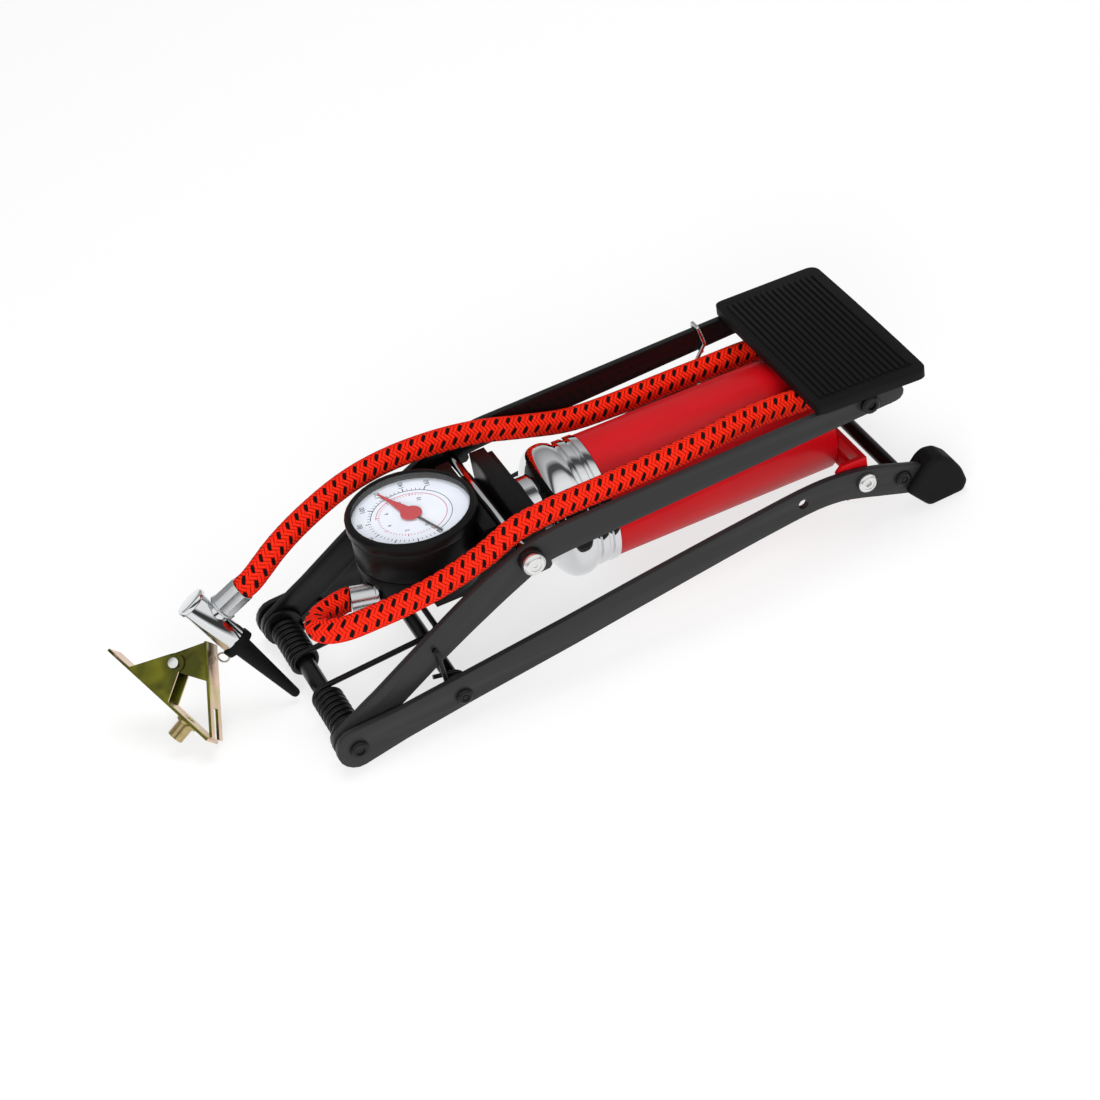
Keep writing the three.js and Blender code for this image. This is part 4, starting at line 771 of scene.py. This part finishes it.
def bent(before, at, after, radius, steps=8):
    """Points of a round bend between two straight runs."""
    one, two = (before - at).normalized(), (after - at).normalized()
    back = radius / math.tan(one.angle(two) / 2)
    start, end = at + one * back, at + two * back
    shares = [i / steps for i in range(steps + 1)]
    return [start * (1 - t) ** 2 + at * 2 * t * (1 - t) + end * t ** 2 for t in shares]


AXLE = (0, 9.4)
CROSSBAR = (48.5, 11.4)
FRAME_OUTSIDE = 47.7
SPRING_WIRE = 1.3
SPRING_BEND = 3
# The arm spring's coils: radius, first and last angle, and their inner and outer ends
SPRING_RADIUS = 5.5
SPRING_TURNS = (3.18523, 50.68436)
SPRING_SPAN = (13, 39.3)
LEG_RISE = 24
LEG_LENGTH = 19
BRIDGE = (54, 17.8)
BRIDGE_FOOT = 16.2


def arm_spring():
    """One wire: two coils on the axle, legs that hook under the arms and a bridge over the crossbar."""
    half = coil(AXLE, SPRING_RADIUS, *SPRING_TURNS, *SPRING_SPAN)
    finish = half[-1]
    rise = math.radians(LEG_RISE)
    hook = finish + Vector((math.cos(rise), 0, math.sin(rise))) * LEG_LENGTH
    out = Vector((hook.x, FRAME_OUTSIDE, hook.z))
    far = [*half, *bent(finish, hook, out, SPRING_BEND), out]
    middle = Vector((BRIDGE[0], 0, BRIDGE[1]))
    turn_in = Vector((BRIDGE[0], SPRING_SPAN[0], BRIDGE[1]))
    on_rod = Vector((CROSSBAR[0], SPRING_SPAN[0], BRIDGE_FOOT))
    side = [middle, *bent(middle, turn_in, on_rod, SPRING_BEND), on_rod, *far]
    points = [Vector((p.x, -p.y, p.z)) for p in side[:0:-1]] + side
    wire("arm_spring_wire", "arm_spring", points, SPRING_WIRE)


LATCH_WIRE = 1.0
LATCH_BEND = 2
LATCH_RADIUS = 4.5
LATCH_START = -40.7
LATCH_TAIL = Vector((-8, 0, 2))
LATCH_FINGER = Vector((0, 0, 23))
LATCH_TIP = Vector((-1.25, 0, 2.5))


def latch_wire():
    """Turns on the crossbar, a short tail and a finger that stands up beside the arm."""
    last_turn = -math.pi / 2 - 2 * math.tau
    turns = coil(CROSSBAR, LATCH_RADIUS, math.pi, last_turn, LATCH_START, -FRAME_OUTSIDE)
    tail = turns[0] + LATCH_TAIL
    top = turns[-1] + LATCH_FINGER
    tip = top + LATCH_TIP
    points = [tail, *turns, *bent(turns[-1], top, tip, LATCH_BEND), tip]
    wire("latch_wire_bent", "latch_wire", points, LATCH_WIRE)


CLIP_WIRE = 0.9
CLIP_BEND = 1.3
# The clip's corners: up the arm's outside, over it, and down on its inside
CLIP_ROUTE = [
    (216, 43.1, 51.85), (216, 47.9, 51.85), (216, 47.9, 65.22), (216, 42.2, 65.22),
    (217.5, 42.2, 56), (208.5, 42.2, 44.6), (211.5, 41.2, 35),
]


def hose_clip():
    """A bright wire that hooks over the far arm and runs down between the arm and the hose."""
    route = [Vector(p) for p in CLIP_ROUTE]
    points = [route[0]]
    for a, b, c in zip(route, route[1:], route[2:]):
        points += bent(a, b, c, CLIP_BEND, 6)
    points.append(route[-1])
    wire("hose_clip_wire", "hose_clip", points, CLIP_WIRE)


arm_spring()
latch_wire()
hose_clip()


# Dial, in the gauge's own frame: x towards the barrel, y to the far side, z out of the glass

GAUGE = Matrix.Translation(Vector((-77.8, 0, 70)) * MM) @ Matrix.Rotation(math.radians(5), 4, "Y")
DIAL_TOP = -1.4
SCALE_START = -73.5
SCALE_SWEEP = -235.5
PRINT_HEIGHT = 0.04
PRINT_GAP = 0.01
MAIN_MARK = 0.42
SMALL_MARK = 0.24


def in_gauge(piece, finish, body="rod"):
    piece.matrix_world = GAUGE @ piece.matrix_world
    settled(piece)
    dressed(piece, finish)
    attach(piece, body)


def joined(pieces, name):
    nothing_selected()
    for piece in pieces:
        piece.select_set(True)
    bpy.context.view_layer.objects.active = pieces[0]
    bpy.ops.object.join()
    pieces[0].name = name
    return pieces[0]


def strip(length, width):
    """A thin printed bar along X, from the middle of its start."""
    bpy.ops.mesh.primitive_cube_add(size=1)
    bar = bpy.context.object
    bar.scale = (length * MM, width * MM, PRINT_HEIGHT * MM)
    bar.location = (length / 2 * MM, 0, (DIAL_TOP + PRINT_HEIGHT / 2 + PRINT_GAP) * MM)
    settled(bar)
    return bar


def round_dial(piece, turn, radius):
    """Moves a bar out to a radius and turns it round the dial's middle."""
    piece.matrix_world = Matrix.Rotation(turn, 4, "Z") @ Matrix.Translation((radius * MM, 0, 0))
    settled(piece)


def ticks(name, radius, count, long_every, short, long, finish):
    """The marks of one scale: a bar copied round the dial, longer at each numbered place."""
    marks = []
    for i in range(count + 1):
        main = i % long_every == 0
        bar = strip(long if main else short, MAIN_MARK if main else SMALL_MARK)
        round_dial(bar, math.radians(SCALE_START + SCALE_SWEEP * i / count), radius)
        marks.append(bar)
    in_gauge(joined(marks, name), finish)


def arc(name, radius, width, finish):
    """A printed arc: one bar's face spun round the dial's middle."""
    bar = strip(width, 0.1)
    start = math.radians(SCALE_START)
    round_dial(bar, start, radius - width / 2)
    only(bar)
    bpy.ops.object.mode_set(mode="EDIT")
    bpy.ops.mesh.select_all(action="DESELECT")
    shape = bmesh.from_edit_mesh(bar.data)
    way = Matrix.Rotation(start, 3, "Z") @ Vector((0, -1, 0))
    for face in shape.faces:
        face.select_set(face.normal.dot(way) > 0.9)
    bmesh.update_edit_mesh(bar.data)
    bpy.ops.mesh.spin(steps=96, angle=math.radians(SCALE_SWEEP), center=(0, 0, 0), axis=(0, 0, 1))
    bpy.ops.mesh.select_all(action="SELECT")
    bpy.ops.mesh.remove_doubles(threshold=0.001 * MM)
    bpy.ops.mesh.normals_make_consistent(inside=False)
    bpy.ops.object.mode_set(mode="OBJECT")
    bar.name = name
    in_gauge(bar, finish)


def figure(text, size):
    """One printed figure, centred."""
    bpy.ops.object.text_add()
    word = bpy.context.object
    word.data.body = text
    word.data.size = size * MM
    word.data.align_x = "CENTER"
    word.data.align_y = "CENTER"
    word.data.extrude = PRINT_HEIGHT / 2 * MM
    only(word)
    bpy.ops.object.convert(target="MESH")
    return bpy.context.object


def numbers(name, values, radius, size):
    """Printed figures round one scale, upright when the dial's open side is below."""
    words = []
    upright = Matrix.Rotation(math.radians(SCALE_START + SCALE_SWEEP / 2 - 90), 4, "Z")
    lift = Vector((0, 0, DIAL_TOP + PRINT_HEIGHT / 2 + PRINT_GAP))
    for i, value in enumerate(values):
        turn = math.radians(SCALE_START + SCALE_SWEEP * i / (len(values) - 1))
        word = figure(value, size)
        place = Vector((math.cos(turn), math.sin(turn), 0)) * radius + lift
        word.matrix_world = Matrix.Translation(place * MM) @ upright
        settled(word)
        words.append(word)
    in_gauge(joined(words, name), BLACK_INK)


arc("outer_scale_line", radius=17.2, width=0.3, finish=BLACK_INK)
ticks("outer_scale_marks", radius=17.3, count=40, long_every=5, short=1.3, long=2.3, finish=BLACK_INK)
numbers("outer_scale_numbers", [str(n) for n in range(0, 161, 20)], radius=21.9, size=3.2)
arc("inner_scale_line", radius=15.0, width=0.3, finish=RED_INK)
ticks("inner_scale_marks", radius=13.4, count=44, long_every=8, short=1.0, long=1.5, finish=RED_INK)
numbers("inner_scale_numbers", [str(n) for n in range(0, 11, 2)], radius=10.8, size=2.6)


# Needle: a red blade with its hub, and a thin black counter arm

NEEDLE_TURN = 109.6
NEEDLE_LIFT = 0.6
HUB_RADIUS = 4.6
HUB_HEIGHT = 0.6
HUB_RIM = 0.9
HUB_DOME = 0.25
# Outlines in millimetres from the needle's pivot
BLADE = [(0, -2.9), (5.5, -2.1), (13, -0.9), (21.3, -0.3), (21.3, 0.3), (13, 0.9), (5.5, 2.1), (0, 2.9)]
COUNTER_ARM = [(-4.4, -0.45), (-4.4, 0.45), (-19.8, 0.38), (-19.8, -0.38)]


def needle_hub():
    """A low disc with its top drawn up inside a rim."""
    bpy.ops.mesh.primitive_cylinder_add(vertices=48, radius=HUB_RADIUS * MM, depth=HUB_HEIGHT * MM)
    hub = bpy.context.object
    only(hub)
    bpy.ops.object.mode_set(mode="EDIT")
    bpy.ops.mesh.select_all(action="DESELECT")
    shape = bmesh.from_edit_mesh(hub.data)
    for face in shape.faces:
        face.select_set(face.normal.z > 0.9)
    bmesh.update_edit_mesh(hub.data)
    bpy.ops.mesh.inset(thickness=HUB_RIM * MM)
    bpy.ops.transform.translate(value=(0, 0, HUB_DOME * MM))
    bpy.ops.object.mode_set(mode="OBJECT")
    return hub


def blade(outline, thickness):
    """A flat blade: an outline pulled up into a thin plate."""
    shape = bmesh.new()
    corners = [shape.verts.new((x * MM, y * MM, -thickness / 2 * MM)) for x, y in outline]
    lifted = bmesh.ops.extrude_face_region(shape, geom=[shape.faces.new(corners)])["geom"]
    top = [v for v in lifted if isinstance(v, bmesh.types.BMVert)]
    bmesh.ops.translate(shape, vec=(0, 0, thickness * MM), verts=top)
    bmesh.ops.recalc_face_normals(shape, faces=shape.faces)
    return made("blade", shape)


def needle():
    hub = needle_hub()
    red = joined([hub, blade(BLADE, thickness=0.5)], "needle_red_blade")
    back = blade(COUNTER_ARM, thickness=0.45)
    back.name = "needle_black_arm"
    middle = Matrix.Translation((0, 0, (DIAL_TOP + NEEDLE_LIFT + HUB_HEIGHT / 2) * MM))
    for item in (red, back):
        item.matrix_world = middle @ Matrix.Rotation(math.radians(NEEDLE_TURN), 4, "Z")
        settled(item)
    in_gauge(red, FINISHES["needle_red"], "pointer")
    in_gauge(back, BLACK_LACQUER, "pointer")
    eased(red, 0.08, sharp=40, segments=1)
    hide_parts("gauge_pointer")


needle()


# Studio: a pale floor, two soft lamps, and a world that lights evenly but shows a room in bright pieces

# What the room shows, by its share of the half turn from the floor in front over the ceiling to the
# floor behind: a sweep, a dark strip, a bright ceiling with a dark beam, and a dimmer far wall
ROOM = [
    (0.0, 0.85), (0.05, 0.05), (0.13, 0.05), (0.18, 0.95), (0.42, 1.0), (0.5, 0.8),
    (0.57, 0.08), (0.63, 0.08), (0.7, 0.6), (0.9, 0.3), (1.0, 0.7),
]
ROOM_LIGHT = 0.34
FLOOR_GLOW = 0.72


def is_ray(tree, *kinds):
    """1 for rays of the given kinds."""
    rays = put(tree, "ShaderNodeLightPath")
    seen = rays.outputs[f"Is {kinds[0]} Ray"]
    for kind in kinds[1:]:
        seen = maths(tree, "MAXIMUM", seen, rays.outputs[f"Is {kind} Ray"])
    return seen


def room():
    world = bpy.data.worlds.new("studio")
    bpy.context.scene.world = world
    world.use_nodes = True
    tree = world.node_tree
    back = tree.nodes["Background"]
    chart = put(tree, "ShaderNodeTexCoord").outputs["Generated"]
    way = put(tree, "ShaderNodeSeparateXYZ", {"Vector": chart})
    turn = maths(tree, "ARCTAN2", way.outputs["Z"], maths(tree, "MULTIPLY", way.outputs["Y"], -1.0))
    ramp = put(tree, "ShaderNodeValToRGB", {"Fac": maths(tree, "DIVIDE", turn, math.pi)})
    while len(ramp.color_ramp.elements) < len(ROOM):
        ramp.color_ramp.elements.new(0.5)
    for element, (at, level) in zip(ramp.color_ramp.elements, ROOM):
        element.position = at
        element.color = (level, level, level, 1)
    shine = mixed(tree, is_ray(tree, "Glossy"), (1, 1, 1, 1), ramp.outputs["Color"])
    strength = levels(tree, is_ray(tree, "Camera", "Glossy", "Transmission"), ROOM_LIGHT, 1.0)
    wired(tree, back, Color=shine, Strength=strength)


def floor():
    bpy.ops.mesh.primitive_plane_add(size=8)
    sheet = bpy.context.object
    sheet.name = "studio_floor"
    settled(sheet)
    tree, shader, material = surface("Studio floor", Base_Color=linear("F2F2F2"), Roughness=0.9)
    glow = put(tree, "ShaderNodeEmission", {"Color": (1, 1, 1, 1), "Strength": 1.0})
    share = maths(tree, "MULTIPLY", is_ray(tree, "Camera", "Glossy"), FLOOR_GLOW)
    inputs = {0: share, 1: shader.outputs["BSDF"], 2: glow.outputs["Emission"]}
    blend = put(tree, "ShaderNodeMixShader", inputs)
    tree.links.new(blend.outputs["Shader"], tree.nodes["Material Output"].inputs["Surface"])
    dressed(sheet, material)


def lamp(name, place, size, power):
    """A soft box that faces the pump's middle."""
    data = bpy.data.lights.new(name, "AREA")
    data.shape = "RECTANGLE"
    data.size, data.size_y = size
    data.energy = power
    item = bpy.data.objects.new(name, data)
    bpy.context.collection.objects.link(item)
    item.location = place
    item.rotation_euler = (Vector((0, 0, 0.03)) - Vector(place)).to_track_quat("-Z", "Y").to_euler()
    item.visible_glossy = False


room()
floor()
lamp("front_softbox", place=(-0.7, -1.5, 0.75), size=(1.1, 0.7), power=30)
lamp("top_softbox", place=(0.25, 0.35, 1.5), size=(1.2, 0.8), power=16)
